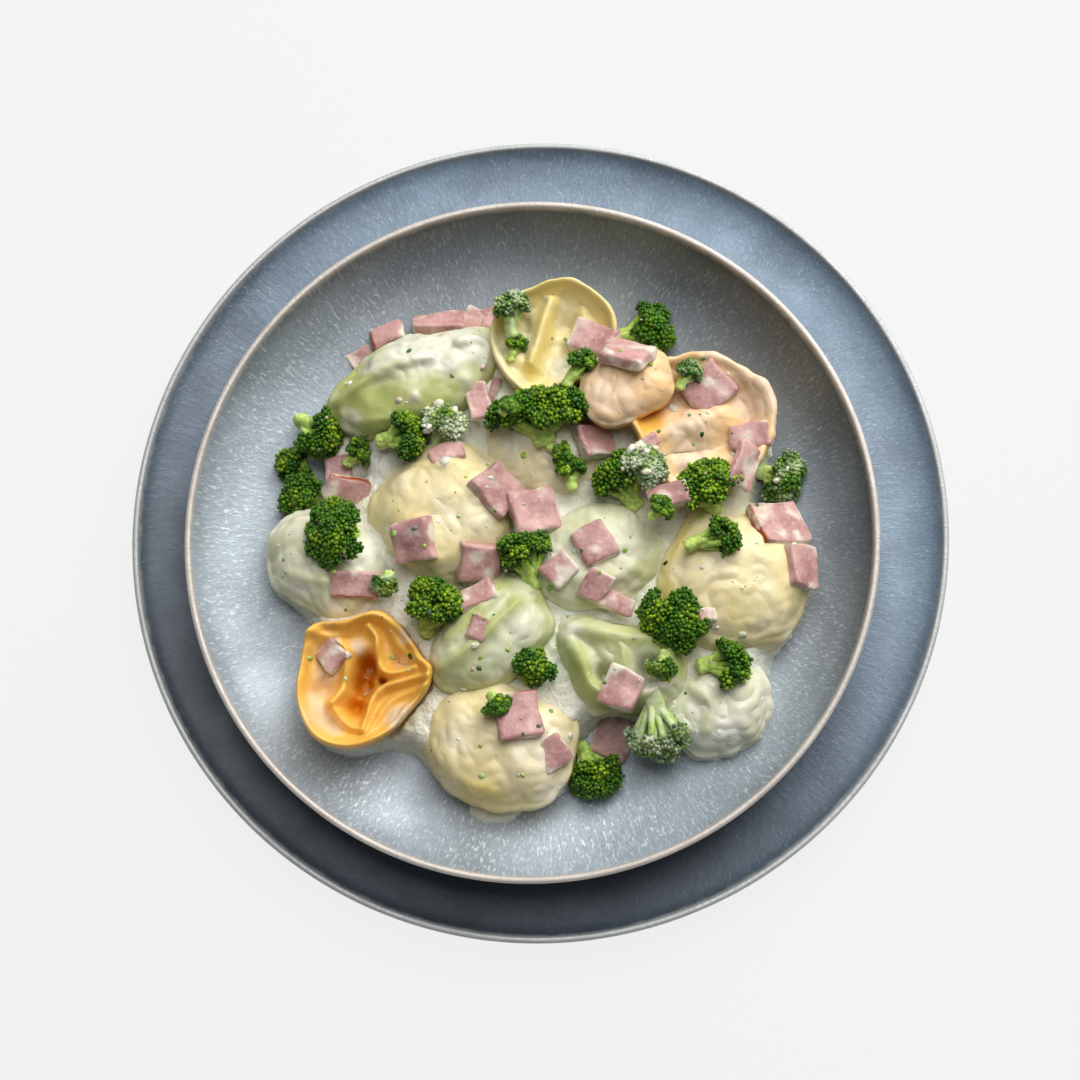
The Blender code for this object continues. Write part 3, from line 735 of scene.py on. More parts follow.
def plate_profile(radius, floor, rim, wall, foot):
    """Radii and heights in millimetres: from the middle over the rim, and back under the foot."""
    start = radius - wall
    top = [
        (0.6, floor),
        (0.5 * start, floor),
        (0.9 * start, floor + 0.1),
        (start + 2, floor + 0.7),
        (radius - 0.52 * wall, floor + 0.20 * (rim - floor)),
        (radius - 0.22 * wall, floor + 0.50 * (rim - floor)),
        (radius - 0.11 * wall, floor + 0.76 * (rim - floor)),
        (radius - 2.3, rim - 0.9),
        (radius - 1.9, rim - 0.1),
        (radius - 1.1, rim + 0.1),
        (radius - 0.3, rim - 0.1),
        (radius, rim - 1.0),
    ]
    under = [
        (radius - 0.4, rim - 3.0),
        (radius - 0.16 * wall, floor + 0.30 * (rim - floor)),
        (radius - 0.48 * wall, floor + 0.16 * (rim - floor) - 0.7 * PLATE_THICKNESS),
        (start, floor - PLATE_THICKNESS + 0.8),
        (foot + 6, 3.4),
        (foot + 5.2, 2.4),
        (foot + 5, 0.1),
        (foot + 2.5, 0),
        (foot, 0.1),
        (foot - 0.4, 2.6),
        (foot - 1.6, 3.4),
        (0.6, 3.6),
    ]
    return top + under


def plate_piece(node, spec):
    low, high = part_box(node)
    radius = (high.x - low.x) / 2
    centre = middle_of(node)
    centre[2] = low.z
    outline_mm = plate_profile(radius / MM, spec["floor"], (high.z - low.z) / MM, spec["wall"], spec["foot"])
    profile = chaikin(outline_mm, 2) * MM
    turns = np.arange(LATHE_SIDES) * TAU / LATHE_SIDES
    circle = np.c_[np.cos(turns), np.sin(turns)]
    rings = [np.c_[circle * r, np.full(LATHE_SIDES, z)] for r, z in profile]
    points = np.vstack([[[0, 0, profile[0][1]]], *rings, [[0, 0, profile[-1][1]]]])
    wobble = waves(points, 60 * MM, 5) * 0.12 * MM * (points[:, 2] > 4 * MM)
    points = points + centre
    points[:, 2] += wobble
    glaze = node + "_glaze"
    finish = glaze_paint(glaze, tuple(centre), radius, high.z, spec)
    return new_piece(node + "_visual", points, loft_faces(len(rings), LATHE_SIDES), finish, (node,))


# ---------------------------------------------------------------- pasta


def outline(turn, half_length, half_width, joint):
    """The plan radius of a pasta piece at these angles, as in the solid that it stands for."""
    power = 2.35
    across = np.abs(np.cos(turn) / half_length) ** power + np.abs(np.sin(turn) / half_width) ** power
    away = np.angle(np.exp(1j * (turn - joint)))
    point = 0.10 * np.exp(-((away / 0.30) ** 2)) - 0.05 * np.exp(-((away / 0.75) ** 2))
    swell = 0.025 * np.sin(3 * turn + joint) + 0.018 * np.sin(5 * turn + 2 * joint)
    return across ** (-1 / power) * (1 + point + swell)


def lip_height(xy, centre_turn, radii, lip):
    """A raised edge along the outline, over a stretch of its angles in the plate's directions."""
    start, end, share, height, width = lip
    turn = np.arctan2(xy[:, 1], xy[:, 0])
    middle = math.radians((start + end) / 2)
    half = math.radians((end - start) / 2)
    away = np.abs(np.angle(np.exp(1j * (turn - middle))))
    reach = 1.0 if half >= math.pi else 1 - smooth_step(away, half - 0.35, half + 0.15)
    radius = np.interp(turn, centre_turn, radii, period=TAU)
    off = np.linalg.norm(xy, axis=1) - share * radius
    return height * reach * np.exp(-((off / width) ** 2))


def relief(xy, spec, centre_turn, radii):
    """How far a piece's top rises, in millimetres, for its folds, lips and hollows."""
    rise = np.zeros(len(xy))
    for line, height, width in spec.get("folds", ()):
        off = distance_to(xy, spline(line, 10 * len(line)))
        rise = np.maximum(rise, height * np.exp(-((off / width) ** 2)))
    for lip in spec.get("lips", ()):
        rise = np.maximum(rise, lip_height(xy, centre_turn, radii, lip))
    for x, y, reach, depth in spec.get("hollows", ()):
        off = np.hypot(xy[:, 0] - x, xy[:, 1] - y)
        rise -= depth * np.exp(-((off / reach) ** 2))
    return rise


def pasta_radii(spec, turns, seed):
    """The outline's radius at each angle: the named edge, or the solid's oval with a little waviness."""
    if "edge" in spec:
        edge = spline(spec["edge"], 400, closed=True)
        angles = np.arctan2(edge[:, 1], edge[:, 0])
        order = np.argsort(angles)
        world = turns + math.radians(spec["turn"])
        return np.interp(world, angles[order], np.linalg.norm(edge, axis=1)[order], period=TAU)
    circle = np.c_[np.cos(turns), np.sin(turns), np.zeros(PASTA_SIDES)]
    wavy = 1 + 0.07 * waves(circle, 0.9, seed + 9) + 0.03 * waves(circle, 0.35, seed + 10)
    return outline(turns, *spec["size"], math.radians(spec["joint"] - spec["turn"])) * wavy


def pasta_loft(spec, height, turns, radii, seed):
    """The smooth piece in millimetres, before its folds, with its middle at the origin."""
    cup = spec["form"] == "cup"
    section = CUP_PROFILE if cup else DOME_PROFILE
    middle = section[0][1] if cup else 1.02
    profile = spline(((0.0, middle),) + section + ((0.0, 0.0),), PASTA_RINGS + 2)[1:-1]
    share = np.clip(profile[:, 0], 0.004, 1.05)[:, None]
    level = np.maximum(profile[:, 1], 0)[:, None]
    world = turns + math.radians(spec["turn"])
    x = share * radii * np.cos(world)
    y = share * radii * np.sin(world)
    z = height * level * np.ones_like(x)
    if not cup:
        seal = 0.5 + 0.5 * np.cos(turns - math.radians(spec["joint"] - spec["turn"]))
        circle = np.c_[np.cos(turns), np.sin(turns), np.zeros(PASTA_SIDES)]
        ruffle = 0.10 * waves(circle, 0.6, seed + 11)
        z += height * (0.10 * seal + ruffle) * smooth_step(share, 0.80, 0.97) * (level > 0.1)
    return np.vstack([[0, 0, height * middle], np.c_[x.ravel(), y.ravel(), z.ravel()], [0, 0, 0]])


def pasta_piece(name, spec, seed, finishes):
    low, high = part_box(name)
    height = (high.z - low.z) / MM
    turns = np.arange(PASTA_SIDES) * TAU / PASTA_SIDES
    radii = pasta_radii(spec, turns, seed)
    points = pasta_loft(spec, height, turns, radii, seed)
    upper = smooth_step(points[:, 2], 0.22 * height, 0.45 * height)
    rise = relief(points[:, :2], spec, turns + math.radians(spec["turn"]), radii)
    points[:, 2] += rise * upper
    flat = points * [1, 1, 0.2]
    points[:, 2] += (0.9 * waves(flat, 15, seed) + 0.4 * waves(flat, 8, seed)) * upper
    points[:, 2] = np.maximum(points[:, 2], 0.18 * height * upper)
    points[:, 2] *= min(1.0, (height + 1.5) / points[:, 2].max())
    under = 1 - smooth_step(points[:, 2], 0, 0.55 * height)
    film = film_share(points, rise, spec, seed)
    points[:, 2] -= under * min(low.z - PLATE_TOP, 7 * MM) / MM
    place = middle_of(name)
    place[2] = low.z
    points += place / MM - (points.min(0) + points.max(0)) / 2 * [1, 1, 0]
    normals = grid_normals(points, PASTA_RINGS, PASTA_SIDES)
    film = film * smooth_step(normals[:, 2], -0.1, 0.55) ** 0.5
    wrinkle = 0.20 * waves(points, 7.0, seed + 1) + 0.05 * waves(points, 2.4, seed + 2)
    lumps = 1.9 * np.abs(waves(points, 11.0, seed + 3)) + 1.1 * np.abs(waves(points, 5.0, seed + 4))
    points = points + normals * (wrinkle + film * (lumps - 0.1))[:, None]
    # Painted shade in the hollows and on the underside, plus random deeper patches of dough.
    depth = np.clip(-0.16 * rise, 0, 1) + 0.55 * (1 - upper)
    depth += 0.35 * np.clip(0.5 + waves(points, 12, seed + 5), 0, 1) * (rise < 0.6)
    return new_piece(
        name + "_visual", points * MM, loft_faces(PASTA_RINGS, PASTA_SIDES), finishes[spec["dough"]],
        (name,), {"film": film, "depth": np.clip(depth, 0, 1)},
    )


def film_share(points, rise, spec, seed):
    """The share of sauce over each point: in broad patches, and thin on folds and lips."""
    film = spec["film"] + 0.30 * waves(points * [1, 1, 0.5], 17, seed + 7)
    film += 0.10 * waves(points, 6, seed + 8)
    film -= 0.13 * np.clip(rise, 0, 3.0)
    for x, y, reach, share in spec.get("spots", ()):
        film += share * np.exp(-(((points[:, 0] - x) ** 2 + (points[:, 1] - y) ** 2) / reach**2))
    return np.clip(film, 0, 1)


# ---------------------------------------------------------------- sauce


def shifted(array, di, dj, fill):
    """The array moved by whole cells, with the open side filled."""
    moved = np.full_like(array, fill)
    rows, columns = array.shape
    moved[max(di, 0):rows + min(di, 0), max(dj, 0):columns + min(dj, 0)] = array[
        max(-di, 0):rows + min(-di, 0), max(-dj, 0):columns + min(-dj, 0)]
    return moved


def spread(array, radius, pick, fill):
    """The highest or lowest value within this many cells of each cell."""
    out = array.copy()
    for di in range(-radius, radius + 1):
        for dj in range(-radius, radius + 1):
            if 0 < di * di + dj * dj <= radius * radius:
                out = pick(out, shifted(array, di, dj, fill))
    return out


def blur(array, times):
    for _ in range(times):
        padded = np.pad(array, 1, mode="edge")
        array = (
            2 * array + padded[:-2, 1:-1] + padded[2:, 1:-1] + padded[1:-1, :-2] + padded[1:-1, 2:]
        ) / 6
    return array


def heights(tree, xs, ys, missing):
    """The height of the top surface at each place of a grid."""
    found = np.full(xs.shape, missing)
    for place in np.ndindex(xs.shape):
        hit = tree.ray_cast(Vector((xs[place], ys[place], RAY_HEIGHT)), DOWN)[0]
        if hit is not None:
            found[place] = hit.z
    return found


def drift(xs, ys, length, seed):
    """Smooth noise over the grid, whose bumps are about this many millimetres across."""
    level = np.c_[xs.ravel(), ys.ravel(), np.zeros(xs.size)]
    return waves(level, length * MM, seed).reshape(xs.shape)


def heap_over(pasta, floor, xs, ys):
    """The pasta's height over the plate, and the coat in mm of whichever piece is on top."""
    heap = np.zeros(xs.shape)
    coat = np.full(xs.shape, -4.0)
    for name, piece in pasta.items():
        low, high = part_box(name)
        rows = slice(*np.searchsorted(xs[:, 0], (low.x - 3 * MM, high.x + 3 * MM)))
        columns = slice(*np.searchsorted(ys[0], (low.y - 3 * MM, high.y + 3 * MM)))
        top = heights(tree_of([piece]), xs[rows, columns], ys[rows, columns], 0.0) - floor[rows, columns]
        above = top > heap[rows, columns]
        heap[rows, columns][above] = top[above]
        coat[rows, columns][above] = COATS[name]
    return heap, coat


def pool_between(heap, closed, coat, floor, xs, ys):
    """The sauce that fills the gaps between the pieces, kept low under the hollows."""
    bare = np.clip(-blur(coat, 3), 0, 12) * (heap > 0)
    pool = floor + blur(closed, 8) - (SAUCE_SINK + bare * MM) + 0.9 * MM * drift(xs, ys, 24, 31)
    for name in HOLLOW_PASTA:
        hollow = 1 - smooth_step(plan_distance(name, xs, ys), 0.26, 0.38)
        pool += hollow * (np.minimum(pool, floor + heap - 0.6 * MM) - pool)
    return pool


def coat_thickness(coat, xs, ys):
    """The coat on the pieces in mm: uneven, with dollops, and thicker round the toppings."""
    thick = blur(coat, 3) + 0.85 * drift(xs, ys, 15, 36) + 0.45 * drift(xs, ys, 6.5, 37)
    for x, y, reach, height in DOLLOPS:
        off = np.hypot(xs / MM - x - PLATE_MIDDLE.x / MM, ys / MM - y - PLATE_MIDDLE.y / MM)
        thick += height * np.exp(-((off / reach) ** 2))
    for name in names_of("ham") + names_of("broccoli"):
        low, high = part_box(name)
        middle = (low + high) / 2
        reach = 0.62 * max(high.x - low.x, high.y - low.y)
        off = np.hypot(xs - middle.x, ys - middle.y)
        thick += 0.75 * np.exp(-((off / reach) ** 4))
    return np.minimum(thick, 1.5 + 0.25 * thick)


def bank_at_edge(closed, floor):
    """The most that the sauce may rise near the edge of the heap, so that it rounds down to the plate."""
    mask = spread((closed > 2 * MM).astype(float), 1, np.minimum, 0.0)
    inset = np.zeros_like(mask)
    for _ in range(SAUCE_BANK):
        inset += mask
        mask = spread(mask, 1, np.minimum, 0.0)
    away = 1 - np.clip(blur(inset, 2) / SAUCE_BANK, 0, 1)
    return floor + 15 * MM * np.sqrt(np.maximum(1 - away**2, 0)) - 0.8 * MM


def with_drips(surface, floor, xs, ys):
    for x, y, half_x, half_y, tall in DRIPS:
        off = ((xs / MM - x) / half_x) ** 2 + ((ys / MM - y) / half_y) ** 2
        drip = floor + tall * MM * np.maximum(1 - off, 0) ** 0.45 - 0.3 * MM
        surface = np.where(off < 1.3, np.maximum(surface, drip), surface)
    return surface


def with_lumps(surface, floor, xs, ys):
    lumps = 2.4 * np.abs(drift(xs, ys, 11, 33)) + 1.2 * np.abs(drift(xs, ys, 5.5, 34))
    lumps = (lumps + 0.55 * drift(xs, ys, 2.6, 38) - 0.5) * MM
    return surface + lumps * smooth_step(surface, floor + 1 * MM, floor + 4 * MM)


def sauce_piece(pasta, plate, finish):
    """The sauce: the pasta's outline closed over and banked at its edge, with a lumpy coat on the pieces."""
    count = int(2 * SAUCE_REACH / SAUCE_CELL) + 1
    axis = np.linspace(-SAUCE_REACH, SAUCE_REACH, count)
    xs, ys = np.meshgrid(axis + PLATE_MIDDLE.x, axis + PLATE_MIDDLE.y, indexing="ij")
    floor = heights(tree_of([plate]), xs, ys, PLATE_TOP)
    heap, coat = heap_over(pasta, floor, xs, ys)
    cells = int(SAUCE_CLOSING / SAUCE_CELL)
    closed = spread(spread(heap, cells, np.maximum, 0.0), cells, np.minimum, 0.0)
    pool = pool_between(heap, closed, coat, floor, xs, ys)
    coated = floor + np.where(heap > 0, blur(heap, 2) + coat_thickness(coat, xs, ys) * MM, 0)
    surface = np.minimum(np.maximum(pool, coated), bank_at_edge(closed, floor))
    surface = with_lumps(with_drips(surface, floor, xs, ys), floor, xs, ys)
    inside = surface > floor - 0.2 * MM
    surface = np.where(inside, surface, floor - 0.6 * MM)
    keep = spread(inside.astype(float), 1, np.maximum, 0.0) > 0
    points = np.c_[xs.ravel(), ys.ravel(), surface.ravel()]
    index = np.arange(xs.size).reshape(xs.shape)
    corners = np.stack([index[:-1, :-1], index[1:, :-1], index[1:, 1:], index[:-1, 1:]], axis=-1)
    faces = corners[keep[:-1, :-1] & keep[1:, :-1] & keep[1:, 1:] & keep[:-1, 1:]]
    kept = np.unique(faces)
    renumber = np.zeros(len(points), int)
    renumber[kept] = np.arange(len(kept))
    looks = {"warm": egg_share(xs, ys).ravel()[kept]}
    faces = renumber[faces].tolist()
    return new_piece("sauce_visual", points[kept], faces, finish, ("sauce",), looks)


def egg_share(xs, ys):
    """Where egg or tomato dough lies close under the sauce, so that its colour comes through."""
    share = np.zeros(xs.shape)
    for name, spec in PASTA.items():
        if spec["dough"] == "spinach":
            continue
        share = np.maximum(share, 1 - smooth_step(plan_distance(name, xs, ys), 0.30, 0.52))
    return share


def plan_distance(name, xs, ys):
    """How far each place is from the solid's middle, in lengths of its box."""
    low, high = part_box(name)
    middle = middle_of(name)
    return np.hypot((xs - middle[0]) / (high.x - low.x), (ys - middle[1]) / (high.y - low.y))


# ---------------------------------------------------------------- broccoli


def ball():
    """The points and faces of a small round bead."""
    shape = bmesh.new()
    bmesh.ops.create_icosphere(shape, subdivisions=1, radius=1)
    points = np.array([vertex.co for vertex in shape.verts])
    faces = np.array([[vertex.index for vertex in face.verts] for face in shape.faces])
    shape.free()
    return points, faces


BEAD = ball()


class Bundle:
    """Many small shapes joined into one mesh, with a colour for each point."""

    def __init__(self):
        self.points = []
        self.faces = []
        self.colours = []
        self.count = 0

    def add(self, points, faces, colour):
        self.points.append(points)
        self.faces.extend((np.asarray(face) + self.count).tolist() for face in faces)
        self.colours.append(np.broadcast_to(colour, (len(points), 3)))
        self.count += len(points)

    def balls(self, centres, radii, colours):
        points, faces = BEAD
        for centre, radius, colour in zip(centres, radii, colours):
            self.add(centre + radius * points, faces, colour)

    def blobs(self, centres, sizes, colour, random):
        """Beads stretched to these sizes and turned at random."""
        points, faces = BEAD
        for centre, size in zip(centres, sizes):
            turn = np.linalg.qr(random.normal(size=(3, 3)))[0]
            bumps = 1 + 0.12 * random.normal(size=(len(points), 1))
            self.add(centre + (points * bumps * size) @ turn, faces, colour)

    def tube(self, path, radii, colours, sides=9):
        """A ridged, closed tube along a path, with a radius and a colour at each of its points."""
        path = np.asarray(path, float)
        forward = np.gradient(path, axis=0)
        forward /= np.linalg.norm(forward, axis=1)[:, None]
        side = np.cross(forward, [0.31, 0.17, 0.93])
        side /= np.linalg.norm(side, axis=1)[:, None]
        other = np.cross(forward, side)
        turns = np.arange(sides) * TAU / sides
        lumps = 1 + 0.12 * np.sin(3 * turns + path[0, 0] * 900)
        rings = []
        for k in range(len(path)):
            round_ = np.cos(turns)[:, None] * side[k] + np.sin(turns)[:, None] * other[k]
            rings.append(path[k] + radii[k] * lumps[:, None] * round_)
        start = path[:1] - forward[:1] * 0.3 * radii[0]
        end = path[-1:] + forward[-1:] * 0.3 * radii[-1]
        lanes = 0.88 + 0.26 * np.abs(np.sin(5.3 * turns + path[0, 1] * 1700))[:, None]
        colours = np.vstack([colours[:1], *[colour * lanes for colour in colours], colours[-1:]])
        faces = [face[:1] + face[:0:-1] for face in loft_faces(len(path), sides)]
        self.add(np.vstack([start, *rings, end]), faces, colours)


STEM_PALE = np.array(srgb(196, 214, 122))
STEM_GREEN = np.array(srgb(132, 172, 48))
# BUD_DARK is also the dark colour painted as shade in the cores of the knobs and domes, and the dark end of
# the buds' painted light.
BUD_DARK = np.array(srgb(26, 70, 2))
BUD_MIDDLE = np.array(srgb(68, 116, 4))
BUD_LIGHT = np.array(srgb(150, 182, 26))


def floret_frame(name, heading, pitch):
    """A floret's base, axis and sides, read from its solid. The base is the end away from its heading."""
    points = np.array([vertex.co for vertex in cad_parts[name].data.vertices])
    reach = points @ direction(heading, pitch)
    base = points[reach <= reach.min() + 0.4 * MM].mean(0)
    middle = points[reach >= reach.min() + 0.45 * (reach.max() - reach.min())].mean(0)
    axis = unit(middle - base)
    side = unit(np.cross([0, 0, 1], axis))
    return base, axis, side, np.cross(axis, side)


def grow_floret(bundle, base, axis, side, over, length, crown, flat, random):
    """A stem that fans into branches, each ending in a few knobs of buds over a dome."""
    stem = 0.22 * crown + 0.9 * MM

    def at(across, sideways, along):
        return base + over * across + side * sideways + axis * along

    knobs = max(9, int(0.155 * (crown / MM) ** 2 * flat) + 6)
    size = 1.22 * crown * math.sqrt(1.5 / knobs)
    spring = 0.36 * length
    for k in range(knobs):
        tip = math.acos(1 - (k + 0.5) / knobs * 0.86)
        turn = k * GOLDEN_TURN + random.uniform(-0.3, 0.3)
        grow = random.uniform(0.82, 1.04)
        reach = (crown - 0.5 * size) * math.sin(tip) * 1.12 * grow
        across = flat * reach * math.cos(turn)
        sideways = reach * math.sin(turn)
        along = spring + (length - spring - 0.5 * size) * (0.25 + 0.75 * math.cos(tip)) * grow
        spot = at(across, sideways, along)
        out = unit(spot - at(0, 0, 0.15 * length))
        own = size * random.uniform(0.75, 1.12)
        start = at(0.18 * across, 0.18 * sideways, 0.22 * length)
        bend = at(0.52 * across, 0.52 * sideways, 0.22 * length + 0.40 * (along - 0.22 * length))
        path = spline((start, bend, spot - out * 0.25 * own), 7)
        radii = np.linspace(0.40 * stem, 0.36 * own, 7)
        shade = np.linspace(0, 1, 7)[:, None]
        bundle.tube(path, radii, STEM_PALE * (1 - shade) + STEM_GREEN * shade)
        add_knob(bundle, spot, out, own, random)
    path = spline((at(0, 0, 0.0), at(0, 0.03 * length, 0.2 * length), at(0, 0, 0.42 * length)), 8)
    radii = stem * np.array([0.88, 1.0, 0.98, 0.95, 1.0, 1.06, 1.1, 0.9])
    shade = np.linspace(0.1, 0.6, 8)[:, None]
    bundle.tube(path, radii, STEM_PALE * (1 - shade) + STEM_GREEN * shade, 14)


def add_knob(bundle, spot, out, size, random):
    """A knob of buds: a few small domes with beads over their outer sides, over a dark core painted as shade
    between the domes.
    """
    first, second = square_to(out)
    tone = random.uniform(0, 1) ** 2
    # Painted shade: a dark core inside the knob, seen between its domes.
    bundle.balls([spot - 0.1 * size * out], [0.72 * size], [BUD_DARK])
    for lobe in range(4):
        turn = lobe * 1.571 + random.uniform(-0.4, 0.4)
        lean = first * math.cos(turn) + second * math.sin(turn)
        place = spot + 0.42 * size * lean + out * size * random.uniform(0.05, 0.25)
        add_beads(bundle, place, unit(out + 0.5 * lean), 0.58 * size, tone, random)


def add_beads(bundle, spot, out, size, tone, random):
    """A small dome of buds that faces outward, over a dark core painted as shade, with the buds that face
    straight out painted lighter as light.
    """
    # Painted shade: a dark core inside the dome, seen between its buds.
    bundle.balls([spot], [0.86 * size], [BUD_DARK])
    count = max(10, int(2.0 * (size / BUD) ** 2))
    index = np.arange(count) + 0.5
    drop = 1 - 1.45 * index / count
    turn = index * GOLDEN_TURN + random.uniform(0, TAU)
    ring = np.sqrt(np.maximum(0, 1 - drop**2))
    first, second = square_to(out)
    sideways = np.cos(turn)[:, None] * first + np.sin(turn)[:, None] * second
    ways = drop[:, None] * out + ring[:, None] * sideways
    ways += random.normal(scale=0.09, size=ways.shape)
    centres = spot + ways * size * random.uniform(0.88, 1.10, (count, 1))
    radii = BUD * random.uniform(0.70, 1.30, count)
    # Painted light: buds facing straight out are lighter and those round the sides darker, with a random
    # share on top.
    light = np.clip(0.45 * drop + 0.40 * random.uniform(-1, 1, count) + 0.25, 0, 1)[:, None]
    colours = BUD_DARK * (1 - light) + (BUD_MIDDLE * (1 - tone) + BUD_LIGHT * tone) * light
    bundle.balls(centres, radii, colours)


def broccoli_piece(name, spec, seed, finish, pile):
    length, crown, heading, pitch, sauced = spec
    random = np.random.default_rng(seed)
    base, axis, side, over = floret_frame(name, heading, pitch)
    flat = 0.5 if crown > 12 else 0.8
    bundle = Bundle()
    grow_floret(bundle, base, axis, side, over, length * MM, crown * MM, flat, random)
    points = np.vstack(bundle.points)
    points[:, 2] -= pile.drop(points, BROCCOLI_SINK)
    film = np.clip(sauced + 0.3 * sauced * waves(points, 7 * MM, seed), 0, 1)
    colours = {"paint": np.vstack(bundle.colours), "film": film}
    piece = new_piece(name + "_visual", points, bundle.faces, finish, (name,), colours)
    pile.trees.append(tree_of([piece]))


# ---------------------------------------------------------------- ham


def cube_shell(steps):
    """Points on a cube of half width 1 and its faces, each face a grid."""
    points = []
    faces = []
    grid = np.linspace(-1, 1, steps + 1)
    for axis in range(3):
        for sign in (-1, 1):
            start = len(points)
            for a in grid:
                for b in grid:
                    point = [0.0, 0.0, 0.0]
                    point[axis] = sign
                    point[(axis + 1) % 3] = a
                    point[(axis + 2) % 3] = b
                    points.append(point)
            for i in range(steps):
                for j in range(steps):
                    corner = start + i * (steps + 1) + j
                    face = (corner, corner + steps + 1, corner + steps + 2, corner + 1)
                    faces.append(face if sign > 0 else face[::-1])
    points, index = np.unique(np.round(points, 6), axis=0, return_inverse=True)
    return points, index.reshape(-1)[np.array(faces)].tolist()


CUBE = cube_shell(15)


def dice_frame(name):
    """The middle, axes and half sizes of a dice, read from its solid's broad faces."""
    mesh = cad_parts[name].data
    points = np.array([vertex.co for vertex in mesh.vertices])
    normals = np.array([face.normal for face in mesh.polygons])
    areas = np.array([face.area for face in mesh.polygons])
    merged = np.array([(areas * (normals @ normal > 0.97)).sum() for normal in normals])
    first = normals[merged.argmax()]
    square = np.abs(normals @ first) < 0.2
    second = normals[square][merged[square].argmax()]
    second = second - first * (second @ first)
    second /= np.linalg.norm(second)
    axes = np.array([first, second, np.cross(first, second)])
    places = points @ axes.T
    middle = (places.max(0) + places.min(0)) / 2
    return middle @ axes, axes, (places.max(0) - places.min(0)) / 2


def ham_piece(name, middle, axes, half, seed, finish, pile, rind=None, film=0.25, nodes=()):
    """A bent, rounded dice that comes to rest on the pile."""
    shell, faces = CUBE
    half = half * np.where(half == half.min(), HAM_THINNED, 1.0)
    core = np.clip(shell * half, -(half - HAM_EDGE), half - HAM_EDGE)
    away = shell * half - core
    away /= np.maximum(np.linalg.norm(away, axis=1), 1e-9)[:, None]
    local = core + HAM_EDGE * away
    world = local @ axes + middle
    flow = np.stack([waves(world, 9 * MM, seed + k) for k in range(3)], axis=1)
    rough = 0.22 * waves(world, 3.0 * MM, seed + 3) + 0.10 * waves(world, 1.3 * MM, seed + 5)
    local = local + 1.1 * MM * flow + away * MM * rough[:, None]
    points = middle + local @ axes
    points[:, 2] -= pile.drop(points, HAM_SINK)
    outward = away @ axes
    skin = np.zeros(len(points))
    if rind is not None:
        skin = smooth_step(outward @ unit(np.array(rind)), 0.55, 0.75)
    cover = film + 0.55 * waves(points, 7 * MM, seed + 4) + 0.50 * (1 - outward[:, 2]) - 0.10
    looks = {"rind": skin, "film": np.clip(cover, 0, 1)}
    piece = new_piece(name, points, faces, finish, nodes, looks)
    pile.trees.append(tree_of([piece]))


# ---------------------------------------------------------------- the pile


class Pile:
    """What lies on the plate so far, so that the next piece can come to rest on it."""

    def __init__(self, pieces):
        self.trees = [tree_of(pieces)]

    def surface(self, x, y):
        """The height and the normal of the top surface at this place."""
        best = (0.0, UP)
        for tree in self.trees:
            spot, normal = tree.ray_cast(Vector((x, y, RAY_HEIGHT)), DOWN)[:2]
            if spot is not None and spot.z > best[0]:
                best = (spot.z, normal if normal.z > 0 else -normal)
        return best

    def drop(self, points, sink, most=12 * MM):
        """How far a piece goes down until it rests, pressed in by the sink."""
        spots = np.round(points[:, :2] / (1.6 * MM)).astype(int)
        order = np.argsort(points[:, 2])
        kept = order[np.unique(spots[order], axis=0, return_index=True)[1]]
        gaps = [points[k, 2] - self.surface(points[k, 0], points[k, 1])[0] for k in kept]
        return min(np.percentile(gaps, 22) + sink, most)


def more_ham(pile, finish):
    """The smaller dice, shreds and bits of ham, each lying on the pile."""
    for number, (x, y, length, width, thick, turn) in enumerate(HAM_EXTRAS):
        x, y = x * MM + PLATE_MIDDLE[0], y * MM + PLATE_MIDDLE[1]
        height, normal = pile.surface(x, y)
        up = (normal + 1.2 * UP).normalized()
        yaw = math.radians(turn)
        along = Vector((math.cos(yaw), math.sin(yaw), 0))
        along = (along - up * along.dot(up)).normalized()
        axes = np.array([along, up.cross(along), up])
        middle = np.array([x, y, height]) + np.array(up) * (thick / 2 + 3) * MM
        half = np.array([length, width, thick]) / 2 * MM
        name = "ham_extra_%02d" % number
        ham_piece(name, middle, axes, half, EXTRA_HAM_SEED + 10 * number, finish, pile, film=0.35)


def sauce_over(pile, finish):
    """Lumps of sauce left on the sauced florets, and a few on the ham."""
    random = np.random.default_rng(LUMP_SEED)
    bundle = Bundle()
    for name, count, size in SAUCED:
        low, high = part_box(name)
        for _ in range(count):
            x, y = random.uniform(low.x, high.x), random.uniform(low.y, high.y)
            height, normal = pile.surface(x, y)
            if height < (low.z + high.z) / 2:
                continue
            radii = size * MM * random.uniform(0.4, 1.0) * np.array([1.3, 1.0, 0.7])
            centre = np.array([x, y, height]) - 0.6 * radii.min() * np.array(normal)
            bundle.blobs([centre], [radii], (1, 1, 1), random)
    points = np.vstack(bundle.points)
    looks = {"warm": np.zeros(len(points))}
    new_piece("sauce_lumps", points, bundle.faces, finish, (), looks)


def more_broccoli(pile, finish):
    """Small florets and loose sprigs beside the large ones."""
    for number, (x, y, length, crown, heading, pitch, sauced) in enumerate(BROCCOLI_EXTRAS):
        random = np.random.default_rng(EXTRA_FLORET_SEED + number)
        base = np.array([x * MM + PLATE_MIDDLE[0], y * MM + PLATE_MIDDLE[1], 0.07])
        axis = direction(heading, pitch)
        side = unit(np.cross([0, 0, 1], axis))
        bundle = Bundle()
        grow_floret(bundle, base, axis, side, np.cross(axis, side), length * MM, crown * MM, 0.8, random)
        points = np.vstack(bundle.points)
        points[:, 2] -= pile.drop(points, SPRIG_SINK, 60 * MM)
        looks = {"paint": np.vstack(bundle.colours), "film": np.full(len(points), sauced)}
        name = "broccoli_extra_%02d" % number
        piece = new_piece(name, points, bundle.faces, finish, (), looks)
        pile.trees.append(tree_of([piece]))


